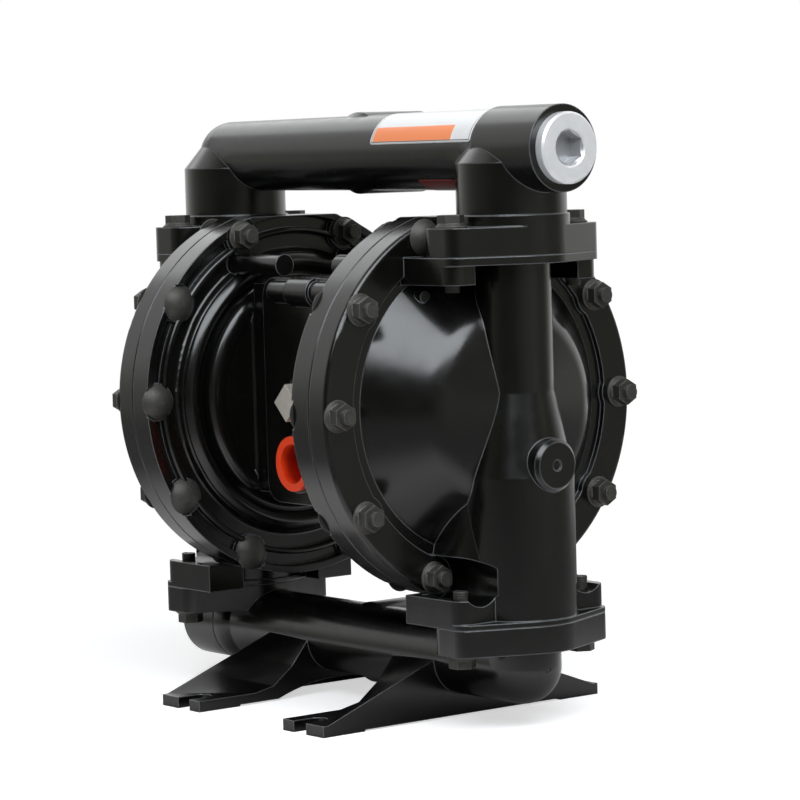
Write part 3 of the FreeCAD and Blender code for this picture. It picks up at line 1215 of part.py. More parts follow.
for side_name in SIDES:
    air_cover(side_name)
    fluid_cover(side_name)
discharge_manifold()
suction_manifold()
end_plug("discharge_end_plug", "end_boss_face", "discharge_pipe_height", "right")
end_plug("suction_end_plug", "suction_boss_face", "suction_pipe_height", "left")
valve_set()
centre_section()
air_valve()
air_ports()
shaft_set()
fasteners()
doc.recompute()

for thing in doc.Objects:
    if "Invalid" in thing.State or "Error" in thing.State:
        raise RuntimeError("%s is not built: %s" % (thing.Name, thing.State))
for label, thing in parts.items():
    if thing.Shape.isNull() or not thing.Shape.isValid():
        raise RuntimeError(label + " has no valid shape")

os.makedirs("parts", exist_ok=True)
for label, thing in parts.items():
    thing.Shape.exportStep("parts/%s.step" % label)
    box = thing.Shape.BoundBox
    print("%-24s %2d solids  x %7.1f %7.1f  y %7.1f %7.1f  z %6.1f %6.1f  %9.0f mm3" % (
        label, len(thing.Shape.Solids), box.XMin, box.XMax, box.YMin, box.YMax, box.ZMin, box.ZMax,
        thing.Shape.Volume))
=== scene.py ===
import json
import math

import bmesh
import bpy
from mathutils import Matrix, Vector


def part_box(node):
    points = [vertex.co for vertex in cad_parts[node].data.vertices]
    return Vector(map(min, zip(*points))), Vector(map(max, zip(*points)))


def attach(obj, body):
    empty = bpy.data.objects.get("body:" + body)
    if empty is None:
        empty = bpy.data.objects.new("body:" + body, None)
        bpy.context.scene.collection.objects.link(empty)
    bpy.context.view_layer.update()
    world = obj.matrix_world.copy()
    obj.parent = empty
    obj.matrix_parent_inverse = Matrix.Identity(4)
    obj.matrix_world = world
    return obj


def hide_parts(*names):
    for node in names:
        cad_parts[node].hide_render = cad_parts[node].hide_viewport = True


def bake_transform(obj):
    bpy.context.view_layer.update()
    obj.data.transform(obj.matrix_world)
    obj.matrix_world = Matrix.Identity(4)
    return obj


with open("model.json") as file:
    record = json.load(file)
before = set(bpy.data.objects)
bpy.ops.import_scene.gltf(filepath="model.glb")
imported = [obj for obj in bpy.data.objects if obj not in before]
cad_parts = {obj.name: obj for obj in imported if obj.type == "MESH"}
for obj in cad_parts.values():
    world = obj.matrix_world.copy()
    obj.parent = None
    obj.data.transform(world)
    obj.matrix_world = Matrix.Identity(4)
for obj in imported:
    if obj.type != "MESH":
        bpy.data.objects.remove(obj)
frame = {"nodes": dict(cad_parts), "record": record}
NODES = frame["nodes"]
HOUSING = "pump_housing"
MM = 0.001
scene = bpy.context.scene


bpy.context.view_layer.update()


def middle(node):
    """The centre of a CAD node's box."""
    low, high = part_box(node)
    return (low + high) / 2


CHAMBER_HEIGHT = middle("shaft_bush_right").z


# Node and mesh helpers

def colour(code):
    """An sRGB hex colour as linear values."""
    values = [int(code[i:i + 2], 16) / 255 for i in (1, 3, 5)]
    linear = [v / 12.92 if v <= 0.04045 else ((v + 0.055) / 1.055) ** 2.4 for v in values]
    return (*linear, 1.0)


def add(tree, kind, links=(), **settings):
    """Adds a node with its settings. links gives each input, by its name or number, a value, another
    node's socket, or another node, whose first output in use is taken."""
    node = tree.nodes.new(kind)
    for name, value in settings.items():
        setattr(node, name, value)
    for target, source in dict(links).items():
        socket = next(entry for number, entry in enumerate(node.inputs)
                      if target == number or (target == entry.name and entry.enabled))
        if isinstance(source, bpy.types.Node):
            source = next(output for output in source.outputs if output.enabled)
        if isinstance(source, bpy.types.NodeSocket):
            tree.links.new(source, socket)
        else:
            socket.default_value = source
    return node


def material(name):
    """A new material with an empty tree."""
    made = bpy.data.materials.new(name)
    made.use_nodes = True
    made.node_tree.nodes.clear()
    return made, made.node_tree


def soft_edge(tree, radius_mm):
    """The normal of an edge rounded by a radius, and a mask that is 1 along it. The mask starts where
    the rounded normal leans 8 degrees from the true one and is full at 30 degrees."""
    rounded = add(tree, "ShaderNodeBevel", {"Radius": radius_mm * MM}, samples=6)
    true_normal = add(tree, "ShaderNodeNewGeometry").outputs["Normal"]
    lean = add(tree, "ShaderNodeVectorMath", {0: rounded, 1: true_normal}, operation="DOT_PRODUCT")
    mask = add(tree, "ShaderNodeMapRange", {
        "Value": lean, "From Min": 0.99, "From Max": 0.86, "To Min": 0.0, "To Max": 1.0})
    return rounded, mask


def turning_rings(tree, spot, centre, pitch_mm):
    """Concentric tool marks about an axis along X through a centre. The wave has 20 / tau rings to a
    unit of its scale."""
    moved = add(tree, "ShaderNodeMapping", {"Vector": spot, "Location": -centre})
    return add(tree, "ShaderNodeTexWave", {
        "Vector": moved, "Scale": math.tau / 20 / (pitch_mm * MM), "Distortion": 0.6, "Detail": 1.0,
        "Detail Scale": 30.0}, wave_type="RINGS", rings_direction="X", wave_profile="SIN")


def shaped_piece(name, form, finish):
    """An object with one finish, made from a bmesh form."""
    mesh = bpy.data.meshes.new(name)
    form.to_mesh(mesh)
    form.free()
    mesh.materials.append(finish)
    piece = bpy.data.objects.new(name, mesh)
    scene.collection.objects.link(piece)
    return piece


def skin_rows(form, rows):
    """Smooth faces from each closed row of points to the next and from the last to the first."""
    for first, second in zip(rows, rows[1:] + rows[:1]):
        for step in range(len(first)):
            after = (step + 1) % len(first)
            form.faces.new((first[step], first[after], second[after], second[step])).smooth = True
    bmesh.ops.recalc_face_normals(form, faces=form.faces)


# Materials

def cast_paint():
    """Satin black enamel over cast aluminium. The eye sees deep black with broad soft highlights, a
    faint orange peel, slightly cloudy gloss, and a painted highlight: light grey mixed in along cast edges."""
    made, tree = material("satin_black_enamel_on_cast_aluminium")
    spot = add(tree, "ShaderNodeTexCoord").outputs["Object"]
    cloud = add(tree, "ShaderNodeTexNoise", {"Vector": spot, "Scale": 1 / (14.0 * MM), "Detail": 3.0})
    peel = add(tree, "ShaderNodeTexNoise", {"Vector": spot, "Scale": 1 / (1.6 * MM), "Detail": 2.0})
    speck = add(tree, "ShaderNodeTexNoise", {"Vector": spot, "Scale": 1 / (0.35 * MM), "Detail": 1.0})
    rounded, edge = soft_edge(tree, radius_mm=1.1)
    base = add(tree, "ShaderNodeMix", {
        "Factor": cloud, "A": colour("#080807"), "B": colour("#0c0c0a")}, data_type="RGBA")
    # Painted highlight: a light grey mixed into the colour along the cast edges stands in for the thin line
    # of light they catch.
    painted_edge_highlight = add(tree, "ShaderNodeMath", {0: edge, 1: 0.9}, operation="MULTIPLY")
    tint = add(tree, "ShaderNodeMix", {
        "Factor": painted_edge_highlight, "A": base, "B": colour("#6a6c6e")}, data_type="RGBA")
    gloss = add(tree, "ShaderNodeMapRange", {
        "Value": cloud, "From Min": 0.3, "From Max": 0.7, "To Min": 0.18, "To Max": 0.25})
    dust = add(tree, "ShaderNodeMapRange", {
        "Value": speck, "From Min": 0.35, "From Max": 0.65, "To Min": -0.02, "To Max": 0.03})
    rough = add(tree, "ShaderNodeMath", {0: gloss, 1: dust}, operation="ADD")
    flowed = add(tree, "ShaderNodeBump", {
        "Height": peel, "Distance": 0.05 * MM, "Strength": 0.12, "Normal": rounded})
    paint = add(tree, "ShaderNodeBsdfPrincipled", {
        "Base Color": tint, "Roughness": rough, "IOR": 1.52, "Normal": flowed, "Specular IOR Level": 0.6})
    add(tree, "ShaderNodeOutputMaterial", {"Surface": paint})
    return made


def dark_zinc_flake():
    """Dark zinc flake on forged steel fasteners: matt charcoal with cloudy patches and worn corners."""
    made, tree = material("dark_zinc_flake_on_steel")
    spot = add(tree, "ShaderNodeTexCoord").outputs["Object"]
    cloud = add(tree, "ShaderNodeTexNoise", {
        "Vector": spot, "Scale": 1 / (2.5 * MM), "Detail": 4.0, "Roughness": 0.6})
    rounded, edge = soft_edge(tree, radius_mm=0.35)
    base = add(tree, "ShaderNodeMix", {
        "Factor": cloud, "A": colour("#383735"), "B": colour("#595753")}, data_type="RGBA")
    worn = add(tree, "ShaderNodeMath", {0: edge, 1: 0.7}, operation="MULTIPLY")
    tint = add(tree, "ShaderNodeMix", {"Factor": worn, "A": base, "B": colour("#a29f97")}, data_type="RGBA")
    rough = add(tree, "ShaderNodeMapRange", {
        "Value": cloud, "From Min": 0.3, "From Max": 0.7, "To Min": 0.46, "To Max": 0.62})
    mottle = add(tree, "ShaderNodeBump", {
        "Height": cloud, "Distance": 0.08 * MM, "Strength": 0.3, "Normal": rounded})
    flake = add(tree, "ShaderNodeBsdfPrincipled", {
        "Base Color": tint, "Metallic": 0.6, "Roughness": rough, "Normal": mottle})
    add(tree, "ShaderNodeOutputMaterial", {"Surface": flake})
    return made


def turned_aluminium(name, node):
    """Turned and clear anodised aluminium: bright silver, soft, with fine rings round the plug's axis, and
    a darker colour in the pressed socket, which is painted shade, where the metal is also more metallic.
    The rings are drawn at 0.5 mm, coarser than the real feed, so that they show."""
    socket_depth, socket_reach = 0.8 * MM, 10.6 * MM
    made, tree = material(name)
    spot = add(tree, "ShaderNodeTexCoord").outputs["Object"]
    centre = middle(node)
    low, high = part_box(node)
    end_face = high.x if centre.x > 0 else low.x
    rings = turning_rings(tree, spot, centre, pitch_mm=0.5)
    moved = add(tree, "ShaderNodeMapping", {"Vector": spot, "Location": -centre})
    parts = add(tree, "ShaderNodeSeparateXYZ", {"Vector": moved}).outputs
    from_end = add(tree, "ShaderNodeMath", {0: parts["X"], 1: centre.x - end_face}, operation="ADD")
    depth = add(tree, "ShaderNodeMath", {0: from_end}, operation="ABSOLUTE")
    squares = [add(tree, "ShaderNodeMath", {0: parts[way], 1: 2.0}, operation="POWER") for way in "YZ"]
    square_sum = add(tree, "ShaderNodeMath", {0: squares[0], 1: squares[1]}, operation="ADD")
    reach = add(tree, "ShaderNodeMath", {0: square_sum}, operation="SQRT")
    down = add(tree, "ShaderNodeMath", {0: depth, 1: socket_depth}, operation="GREATER_THAN")
    within = add(tree, "ShaderNodeMath", {0: reach, 1: socket_reach}, operation="LESS_THAN")
    socket = add(tree, "ShaderNodeMath", {0: down, 1: within}, operation="MULTIPLY")
    cloud = add(tree, "ShaderNodeTexNoise", {"Vector": spot, "Scale": 1 / (6.0 * MM), "Detail": 2.0})
    rounded, edge = soft_edge(tree, radius_mm=0.3)
    turned = add(tree, "ShaderNodeMix", {
        "Factor": cloud, "A": colour("#e8e8e9"), "B": colour("#f6f6f7")}, data_type="RGBA")
    # Painted shade: the colour is mixed darker inside the socket, deeper than 0.8 mm and within its reach.
    tint = add(tree, "ShaderNodeMix", {
        "Factor": socket, "A": turned, "B": colour("#c6c7c9")}, data_type="RGBA")
    polish = add(tree, "ShaderNodeMath", {0: edge, 1: -0.06}, operation="MULTIPLY")
    ringed = add(tree, "ShaderNodeMapRange", {
        "Value": rings, "From Min": 0.0, "From Max": 1.0, "To Min": 0.3, "To Max": 0.38})
    rough = add(tree, "ShaderNodeMath", {0: ringed, 1: polish}, operation="ADD")
    socket_metallic = add(tree, "ShaderNodeMapRange", {
        "Value": socket, "From Min": 0.0, "From Max": 1.0, "To Min": 0.5, "To Max": 0.75})
    grooves = add(tree, "ShaderNodeBump", {
        "Height": rings, "Distance": 0.01 * MM, "Strength": 0.35, "Normal": rounded})
    metal = add(tree, "ShaderNodeBsdfPrincipled", {
        "Base Color": tint, "Metallic": socket_metallic, "Roughness": rough, "Normal": grooves})
    add(tree, "ShaderNodeOutputMaterial", {"Surface": metal})
    return made


def nickel_plate():
    """Dull nickel over a drawn square bar: warm pale grey with a faint mottle."""
    made, tree = material("dull_nickel_plate")
    spot = add(tree, "ShaderNodeTexCoord").outputs["Object"]
    cloud = add(tree, "ShaderNodeTexNoise", {"Vector": spot, "Scale": 1 / (3.0 * MM), "Detail": 3.0})
    rounded, _ = soft_edge(tree, radius_mm=0.4)
    tint = add(tree, "ShaderNodeMix", {
        "Factor": cloud, "A": colour("#cdc5bc"), "B": colour("#e6dfd6")}, data_type="RGBA")
    rough = add(tree, "ShaderNodeMapRange", {
        "Value": cloud, "From Min": 0.3, "From Max": 0.7, "To Min": 0.34, "To Max": 0.46})
    mottle = add(tree, "ShaderNodeBump", {
        "Height": cloud, "Distance": 0.03 * MM, "Strength": 0.2, "Normal": rounded})
    plate = add(tree, "ShaderNodeBsdfPrincipled", {
        "Base Color": tint, "Metallic": 0.6, "Roughness": rough, "Normal": mottle})
    add(tree, "ShaderNodeOutputMaterial", {"Surface": plate})
    return made


def red_polythene():
    """Moulded low density polythene cap: saturated orange red, waxy, a little light passing through,
    and a deeper red down in its cup, which is painted shade."""
    made, tree = material("moulded_red_polythene")
    spot = add(tree, "ShaderNodeTexCoord").outputs["Object"]
    cloud = add(tree, "ShaderNodeTexNoise", {"Vector": spot, "Scale": 1 / (5.0 * MM), "Detail": 2.0})
    skin = add(tree, "ShaderNodeTexNoise", {"Vector": spot, "Scale": 1 / (0.6 * MM), "Detail": 2.0})
    rounded, _ = soft_edge(tree, radius_mm=0.4)
    outside = add(tree, "ShaderNodeMix", {
        "Factor": cloud, "A": colour("#f23a0c"), "B": colour("#ff4f1e")}, data_type="RGBA")
    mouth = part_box("exhaust_cap")[0].y
    parts = add(tree, "ShaderNodeSeparateXYZ", {"Vector": spot}).outputs
    # Painted shade: the red darkens from 1 mm to 6 mm down the cup from its mouth.
    painted_cup_shade = add(tree, "ShaderNodeMapRange", {
        "Value": parts["Y"], "From Min": mouth + 1.0 * MM, "From Max": mouth + 6.0 * MM,
        "To Min": 0.0, "To Max": 1.0})
    tint = add(tree, "ShaderNodeMix", {
        "Factor": painted_cup_shade, "A": outside, "B": colour("#a81a06")}, data_type="RGBA")
    waxy = add(tree, "ShaderNodeBump", {
        "Height": skin, "Distance": 0.02 * MM, "Strength": 0.15, "Normal": rounded})
    plastic = add(tree, "ShaderNodeBsdfPrincipled", {
        "Base Color": tint, "Roughness": 0.34, "IOR": 1.51, "Subsurface Weight": 0.12,
        "Subsurface Radius": (0.004, 0.0012, 0.0006), "Normal": waxy})
    add(tree, "ShaderNodeOutputMaterial", {"Surface": plastic})
    return made


def moulded_rubber():
    """Moulded nitrile rubber: near black, matt, with a fine sanded texture."""
    made, tree = material("moulded_nitrile_rubber")
    spot = add(tree, "ShaderNodeTexCoord").outputs["Object"]
    sanded = add(tree, "ShaderNodeTexNoise", {"Vector": spot, "Scale": 1 / (0.4 * MM), "Detail": 3.0})
    cloud = add(tree, "ShaderNodeTexNoise", {"Vector": spot, "Scale": 1 / (8.0 * MM), "Detail": 2.0})
    tint = add(tree, "ShaderNodeMix", {
        "Factor": cloud, "A": colour("#121212"), "B": colour("#1c1c1b")}, data_type="RGBA")
    rough = add(tree, "ShaderNodeMapRange", {
        "Value": sanded, "From Min": 0.3, "From Max": 0.7, "To Min": 0.62, "To Max": 0.8})
    texture = add(tree, "ShaderNodeBump", {"Height": sanded, "Distance": 0.04 * MM, "Strength": 0.4})
    rubber = add(tree, "ShaderNodeBsdfPrincipled", {
        "Base Color": tint, "Roughness": rough, "IOR": 1.52, "Normal": texture})
    add(tree, "ShaderNodeOutputMaterial", {"Surface": rubber})
    return made


def white_fluoropolymer():
    """Turned fluoropolymer: milky white, waxy, slightly see-through at thin edges."""
    made, tree = material("turned_white_fluoropolymer")
    spot = add(tree, "ShaderNodeTexCoord").outputs["Object"]
    cloud = add(tree, "ShaderNodeTexNoise", {"Vector": spot, "Scale": 1 / (10.0 * MM), "Detail": 2.0})
    skin = add(tree, "ShaderNodeTexNoise", {"Vector": spot, "Scale": 1 / (0.8 * MM), "Detail": 2.0})
    tint = add(tree, "ShaderNodeMix", {
        "Factor": cloud, "A": colour("#dcdbd6"), "B": colour("#ebeae6")}, data_type="RGBA")
    waxy = add(tree, "ShaderNodeBump", {"Height": skin, "Distance": 0.02 * MM, "Strength": 0.2})
    plastic = add(tree, "ShaderNodeBsdfPrincipled", {
        "Base Color": tint, "Roughness": 0.38, "IOR": 1.36, "Subsurface Weight": 0.15,
        "Subsurface Radius": (0.002, 0.002, 0.002), "Normal": waxy})
    add(tree, "ShaderNodeOutputMaterial", {"Surface": plastic})
    return made


def ground_steel():
    """Ground stainless steel: bright grey with fine lines round the shaft. The lines are drawn at
    0.4 mm, coarser than a grinding wheel leaves them, so that they show."""
    made, tree = material("ground_stainless_steel")
    spot = add(tree, "ShaderNodeTexCoord").outputs["Object"]
    rings = turning_rings(tree, spot, Vector((0.0, 0.0, CHAMBER_HEIGHT)), pitch_mm=0.4)
    cloud = add(tree, "ShaderNodeTexNoise", {"Vector": spot, "Scale": 1 / (7.0 * MM), "Detail": 2.0})
    tint = add(tree, "ShaderNodeMix", {
        "Factor": cloud, "A": colour("#a9abad"), "B": colour("#c3c4c6")}, data_type="RGBA")
    rough = add(tree, "ShaderNodeMapRange", {
        "Value": rings, "From Min": 0.0, "From Max": 1.0, "To Min": 0.18, "To Max": 0.28})
    grooves = add(tree, "ShaderNodeBump", {"Height": rings, "Distance": 0.01 * MM, "Strength": 0.3})
    metal = add(tree, "ShaderNodeBsdfPrincipled", {
        "Base Color": tint, "Metallic": 1.0, "Roughness": rough, "Normal": grooves})
    add(tree, "ShaderNodeOutputMaterial", {"Surface": metal})
    return made


FINISHES = {
    "black_casting": cast_paint(),
    "dark_fastener": dark_zinc_flake(),
    "nickel_plate": nickel_plate(),
    "red_plastic": red_polythene(),
    "black_rubber": moulded_rubber(),
    "white_plastic": white_fluoropolymer(),
    "bright_steel": ground_steel(),
}
PLUG_FINISHES = {
    "discharge_end_plug": turned_aluminium("turned_aluminium_discharge_plug", "discharge_end_plug"),
    "suction_end_plug": turned_aluminium("turned_aluminium_suction_plug", "suction_end_plug"),
}
for entry in frame["record"]["subparts"]:
    node = entry["node"]
    slots = NODES[node].data.materials
    slots.clear()
    slots.append(PLUG_FINISHES.get(node) or FINISHES[entry["material_slot"]])


# Diaphragms

# Where each pair of covers meets, along X
PARTING_PLANES = {"right": 82.5 * MM, "left": -90.5 * MM}
# Distances from the shaft to the hole, the fold and the bead, and how high the fold rises
HUB_HOLE = 7.1 * MM
FOLD_START, FOLD_END, FOLD_RISE = 55.0 * MM, 79.0 * MM, 5.0 * MM
BEAD_START, BEAD_END = 88.2 * MM, 94.8 * MM
# Half the thickness of the rubber and of the bead at its rim
RUBBER_HALF, BEAD_HALF = 1.6 * MM, 2.9 * MM


def rubber_profile():
    """The cross-section of a diaphragm, as distances from the shaft and offsets from its plane."""
    steps = 60
    middle_line = []
    for step in range(steps + 1):
        reach = HUB_HOLE + (BEAD_START - HUB_HOLE) * step / steps
        share = min(max((reach - FOLD_START) / (FOLD_END - FOLD_START), 0.0), 1.0)
        middle_line.append((reach, FOLD_RISE * math.sin(math.pi * share) ** 2))
    above = [(reach, offset + RUBBER_HALF) for reach, offset in middle_line]
    below = [(reach, offset - RUBBER_HALF) for reach, offset in reversed(middle_line)]
    bead = [(BEAD_START, BEAD_HALF), (BEAD_END, BEAD_HALF), (BEAD_END, -BEAD_HALF), (BEAD_START, -BEAD_HALF)]
    return above + bead + below


def flexing_diaphragm(side):
    """Moulded diaphragm in place of the rigid CAD solid, which is hidden: a middle round the shaft, a bead
    clamped between the covers, and a fold that bulges between them."""
    node = "diaphragm_" + side
    plane = PARTING_PLANES[side]
    outward = 1 if plane > 0 else -1
    turns = 96
    angles = [math.tau * step / turns for step in range(turns)]
    form = bmesh.new()
    rings = [[form.verts.new((plane + outward * offset, reach * math.cos(angle),
                              CHAMBER_HEIGHT + reach * math.sin(angle))) for angle in angles]
             for reach, offset in rubber_profile()]
    skin_rows(form, rings)
    piece = shaped_piece(node + "_moulding", form, FINISHES["black_rubber"])
    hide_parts(node)
    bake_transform(piece)


for side in PARTING_PLANES:
    flexing_diaphragm(side)


# Raised bands cast on the air covers

MIDDLE_X = -4.0 * MM  # the plane halfway between the two chambers
# Faces of an air cover, as distances from that plane
STEP_FACE, MIDDLE_FACE = 71.0 * MM, 62.0 * MM
RAIL_FACE = STEP_FACE + 1.5 * MM
# Centre line, width and height of each band
OUTER_RADIUS, OUTER_SIZES = 77.5 * MM, (11.2 * MM, 3.4 * MM)
RAIL_RADIUS, RAIL_SIZES = 96.25 * MM, (3.5 * MM, 1.1 * MM)
BOW_RADIUS, BOW_SIZES = 65.5 * MM, (11.0 * MM, 2.0 * MM)
STEM_OFFSET, STEM_SIZES = 38.0 * MM, (5.0 * MM, 1.4 * MM)


def cast_band(name, path, sizes, face, skirt):
    """A rounded band on a face of both air covers. The path is closed, with a width and a height at each
    point, and the band's sides go on under the face by the skirt."""
    steps = 8
    shares = [step / steps for step in range(-steps, steps + 1)]
    for outward, side in ((1, "_right"), (-1, "_left")):
        form = bmesh.new()
        rows = []
        for number, ((y, z), (width, height)) in enumerate(zip(path, sizes)):
            before, after = path[number - 1], path[(number + 1) % len(path)]
            along = Vector((after[0] - before[0], after[1] - before[1])).normalized()
            crown = [(share, height * (1 - share ** 2)) for share in shares]
            row = []
            for share, rise in [(-1.0, -skirt)] + crown + [(1.0, -skirt)]:
                aside = share * width / 2
                spot = (MIDDLE_X + outward * (face - rise), y + along.y * aside, z - along.x * aside)
                row.append(form.verts.new(spot))
            rows.append(row)
        skin_rows(form, rows)
        piece = shaped_piece(name + side, form, FINISHES["black_casting"])
        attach(piece, HOUSING)


def round_band(name, radius, sizes, face):
    """A band in a full ring round the shaft."""
    turns = 180
    angles = [math.tau * step / turns for step in range(turns)]
    path = [(radius * math.cos(angle), CHAMBER_HEIGHT + radius * math.sin(angle)) for angle in angles]
    cast_band(name, path, [sizes] * turns, face, skirt=4 * MM)


def evened(values):
    """Values round a closed path, averaged with their neighbours until its two corners are round."""
    count = len(values)
    for _ in range(14):
        values = [(values[k - 1] + 2 * values[k] + values[(k + 1) % count]) / 4 for k in range(count)]
    return values


def d_band(name, facing_back):
    """The inner band, a D on the middle face beside the centre section: a wide bow and a narrow stem."""
    bow_half, stem_steps = 40, 60
    half_turn = math.acos(STEM_OFFSET / BOW_RADIUS)
    angles = [half_turn * (1 - step / bow_half) for step in range(2 * bow_half + 1)]
    bow = [(-BOW_RADIUS * math.cos(angle), BOW_RADIUS * math.sin(angle)) for angle in angles]
    reach = bow[0][1]
    stem = [(-STEM_OFFSET, -reach + 2 * reach * step / stem_steps) for step in range(1, stem_steps)]
    across, up = (evened([point[way] for point in bow + stem]) for way in (0, 1))
    widths, heights = (evened([BOW_SIZES[way]] * len(bow) + [STEM_SIZES[way]] * len(stem)) for way in (0, 1))
    path = [(-y if facing_back else y, CHAMBER_HEIGHT + z) for y, z in zip(across, up)]
    if facing_back:
        path, widths, heights = path[::-1], widths[::-1], heights[::-1]
    cast_band(name, path, list(zip(widths, heights)), MIDDLE_FACE, skirt=9 * MM)


round_band("outer_band", OUTER_RADIUS, OUTER_SIZES, STEP_FACE)
round_band("bolt_rail", RAIL_RADIUS, RAIL_SIZES, RAIL_FACE)
d_band("inner_band_front", facing_back=False)
d_band("inner_band_back", facing_back=True)


# Labels on the top pipe

PIPE_RADII = (20.9 * MM, 22.4 * MM)  # at the two columns, since the pipe tapers
COLUMN_OFFSET = 131.5 * MM
PIPE_START = -COLUMN_OFFSET + MIDDLE_X
PIPE_HEIGHT = middle("discharge_end_plug").z
FILM = 0.15 * MM
LABEL_CORNER = 2.0 * MM
BORDER_INSET, BORDER_LINE = 1.1 * MM, 0.45 * MM
ORANGE_BLOCK = ((2.2 * MM, 1.6 * MM), (73.0 * MM, 10.6 * MM))


def in_rectangle(tree, film_map, low_corner, high_corner):
    """1 between two corners on a label's map."""
    masks = []
    for way, start, end in zip("XY", low_corner, high_corner):
        above = add(tree, "ShaderNodeMath", {0: film_map[way], 1: start}, operation="GREATER_THAN")
        below = add(tree, "ShaderNodeMath", {0: film_map[way], 1: end}, operation="LESS_THAN")
        masks.append(add(tree, "ShaderNodeMath", {0: above, 1: below}, operation="MULTIPLY"))
    return add(tree, "ShaderNodeMath", {0: masks[0], 1: masks[1]}, operation="MULTIPLY")


def label_film(name, length, height, ground, block_tint=None, block=None):
    """Glossy self-adhesive film with a thin dark border and, where given, one plain colour block.
    The map is in metres along and round the pipe."""
    made, tree = material(name)
    spot = add(tree, "ShaderNodeTexCoord").outputs["Object"]
    film_map = add(tree, "ShaderNodeSeparateXYZ", {"Vector": add(tree, "ShaderNodeUVMap")}).outputs
    fade = add(tree, "ShaderNodeTexNoise", {"Vector": spot, "Scale": 1 / (9.0 * MM), "Detail": 2.0})
    tint = add(tree, "ShaderNodeMix", {"Factor": fade, "A": ground[0], "B": ground[1]}, data_type="RGBA")
    if block:
        within = in_rectangle(tree, film_map, *block)
        tint = add(tree, "ShaderNodeMix", {"Factor": within, "A": tint, "B": block_tint}, data_type="RGBA")
    whole, hollow = (in_rectangle(tree, film_map, (inset, inset), (length - inset, height - inset))
                     for inset in (BORDER_INSET, BORDER_INSET + BORDER_LINE))
    border = add(tree, "ShaderNodeMath", {0: whole, 1: hollow}, operation="SUBTRACT")
    tint = add(tree, "ShaderNodeMix", {"Factor": border, "A": tint, "B": colour("#3c3a38")}, data_type="RGBA")
    ripple = add(tree, "ShaderNodeTexNoise", {"Vector": spot, "Scale": 1 / (2.2 * MM), "Detail": 2.0})
    stretched = add(tree, "ShaderNodeBump", {"Height": ripple, "Distance": 0.02 * MM, "Strength": 0.15})
    film = add(tree, "ShaderNodeBsdfPrincipled", {
        "Base Color": tint, "Roughness": 0.28, "IOR": 1.48, "Normal": stretched})
    add(tree, "ShaderNodeOutputMaterial", {"Surface": film})
    return made


def white_and_orange_film(length, height):
    return label_film("white_and_orange_label_film", length, height,
                      (colour("#e3e2e1"), colour("#ebeae8")), colour("#fb9058"), ORANGE_BLOCK)


def dark_red_film(length, height):
    return label_film("dark_red_label_film", length, height, (colour("#7c1c1c"), colour("#8c2422")))


def pipe_radius(x):
    """The radius of the tapered top pipe at a place along it."""
    share = (x - PIPE_START) / (2 * COLUMN_OFFSET)
    return PIPE_RADII[0] + (PIPE_RADII[1] - PIPE_RADII[0]) * share


def pipe_label(name, start, end, low_angle, high_angle, finish):
    """A film wrapped round the pipe between two places along it and two angles above its front. Its
    corners are round, and its edges turn down into the pipe."""
    length = end - start
    low_turn, whole_turn = math.radians(low_angle), math.radians(high_angle - low_angle)
    height = whole_turn * pipe_radius((start + end) / 2)
    columns, rows = 40, 24
    corner = [LABEL_CORNER * (1 - math.cos(math.radians(turn))) for turn in range(0, 91, 15)]
    inner = [LABEL_CORNER + (length - 2 * LABEL_CORNER) * step / columns for step in range(1, columns)]
    stations = corner + inner + [length - value for value in reversed(corner)]
    form = bmesh.new()
    chart = form.loops.layers.uv.new("film")
    points = {}
    for column, along in enumerate(stations):
        short = LABEL_CORNER - min(along, length - along, LABEL_CORNER)
        inset = LABEL_CORNER - math.sqrt(LABEL_CORNER ** 2 - short ** 2)
        for row in range(-1, rows + 2):
            around = inset + (height - 2 * inset) * min(max(row, 0), rows) / rows
            angle = low_turn + around / height * whole_turn
            on_edge = not (0 <= row <= rows and 0 < column < len(stations) - 1)
            reach = pipe_radius(start + along) + (-FILM if on_edge else FILM)
            spot = (start + along, -reach * math.cos(angle), PIPE_HEIGHT + reach * math.sin(angle))
            points[column, row] = (form.verts.new(spot), (along, around))
    for column in range(len(stations) - 1):
        for row in range(-1, rows + 1):
            corners = [points[column, row], points[column + 1, row],
                       points[column + 1, row + 1], points[column, row + 1]]
            face = form.faces.new([vertex for vertex, on_film in corners])
            face.smooth = True
            for loop, (vertex, on_film) in zip(face.loops, corners):
                loop[chart].uv = on_film
    bmesh.ops.dissolve_degenerate(form, dist=1e-7, edges=form.edges)
    piece = shaped_piece(name, form, finish(length, height))
    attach(piece, HOUSING)


pipe_label("plate_label", start=29.0 * MM, end=119.5 * MM, low_angle=12.0, high_angle=106.0,
           finish=white_and_orange_film)
pipe_label("underside_label", start=64.0 * MM, end=97.0 * MM, low_angle=-112.0, high_angle=-46.0,
           finish=dark_red_film)


# Threads on the ends of the studs

STUD_AXES = {"cover_bolts_right": 0, "cover_bolts_left": 0,
             "discharge_flange_bolts": 2, "suction_flange_bolts": 2}
THREAD = {"Radius": 4.0 * MM, "Pitch": 1.25 * MM, "Length": 3.2 * MM, "Ridge": 0.34 * MM}
SAME_POINT, SAME_FACE = 0.02 * MM, 0.05 * MM  # how near two points of a stud count as one, or as level


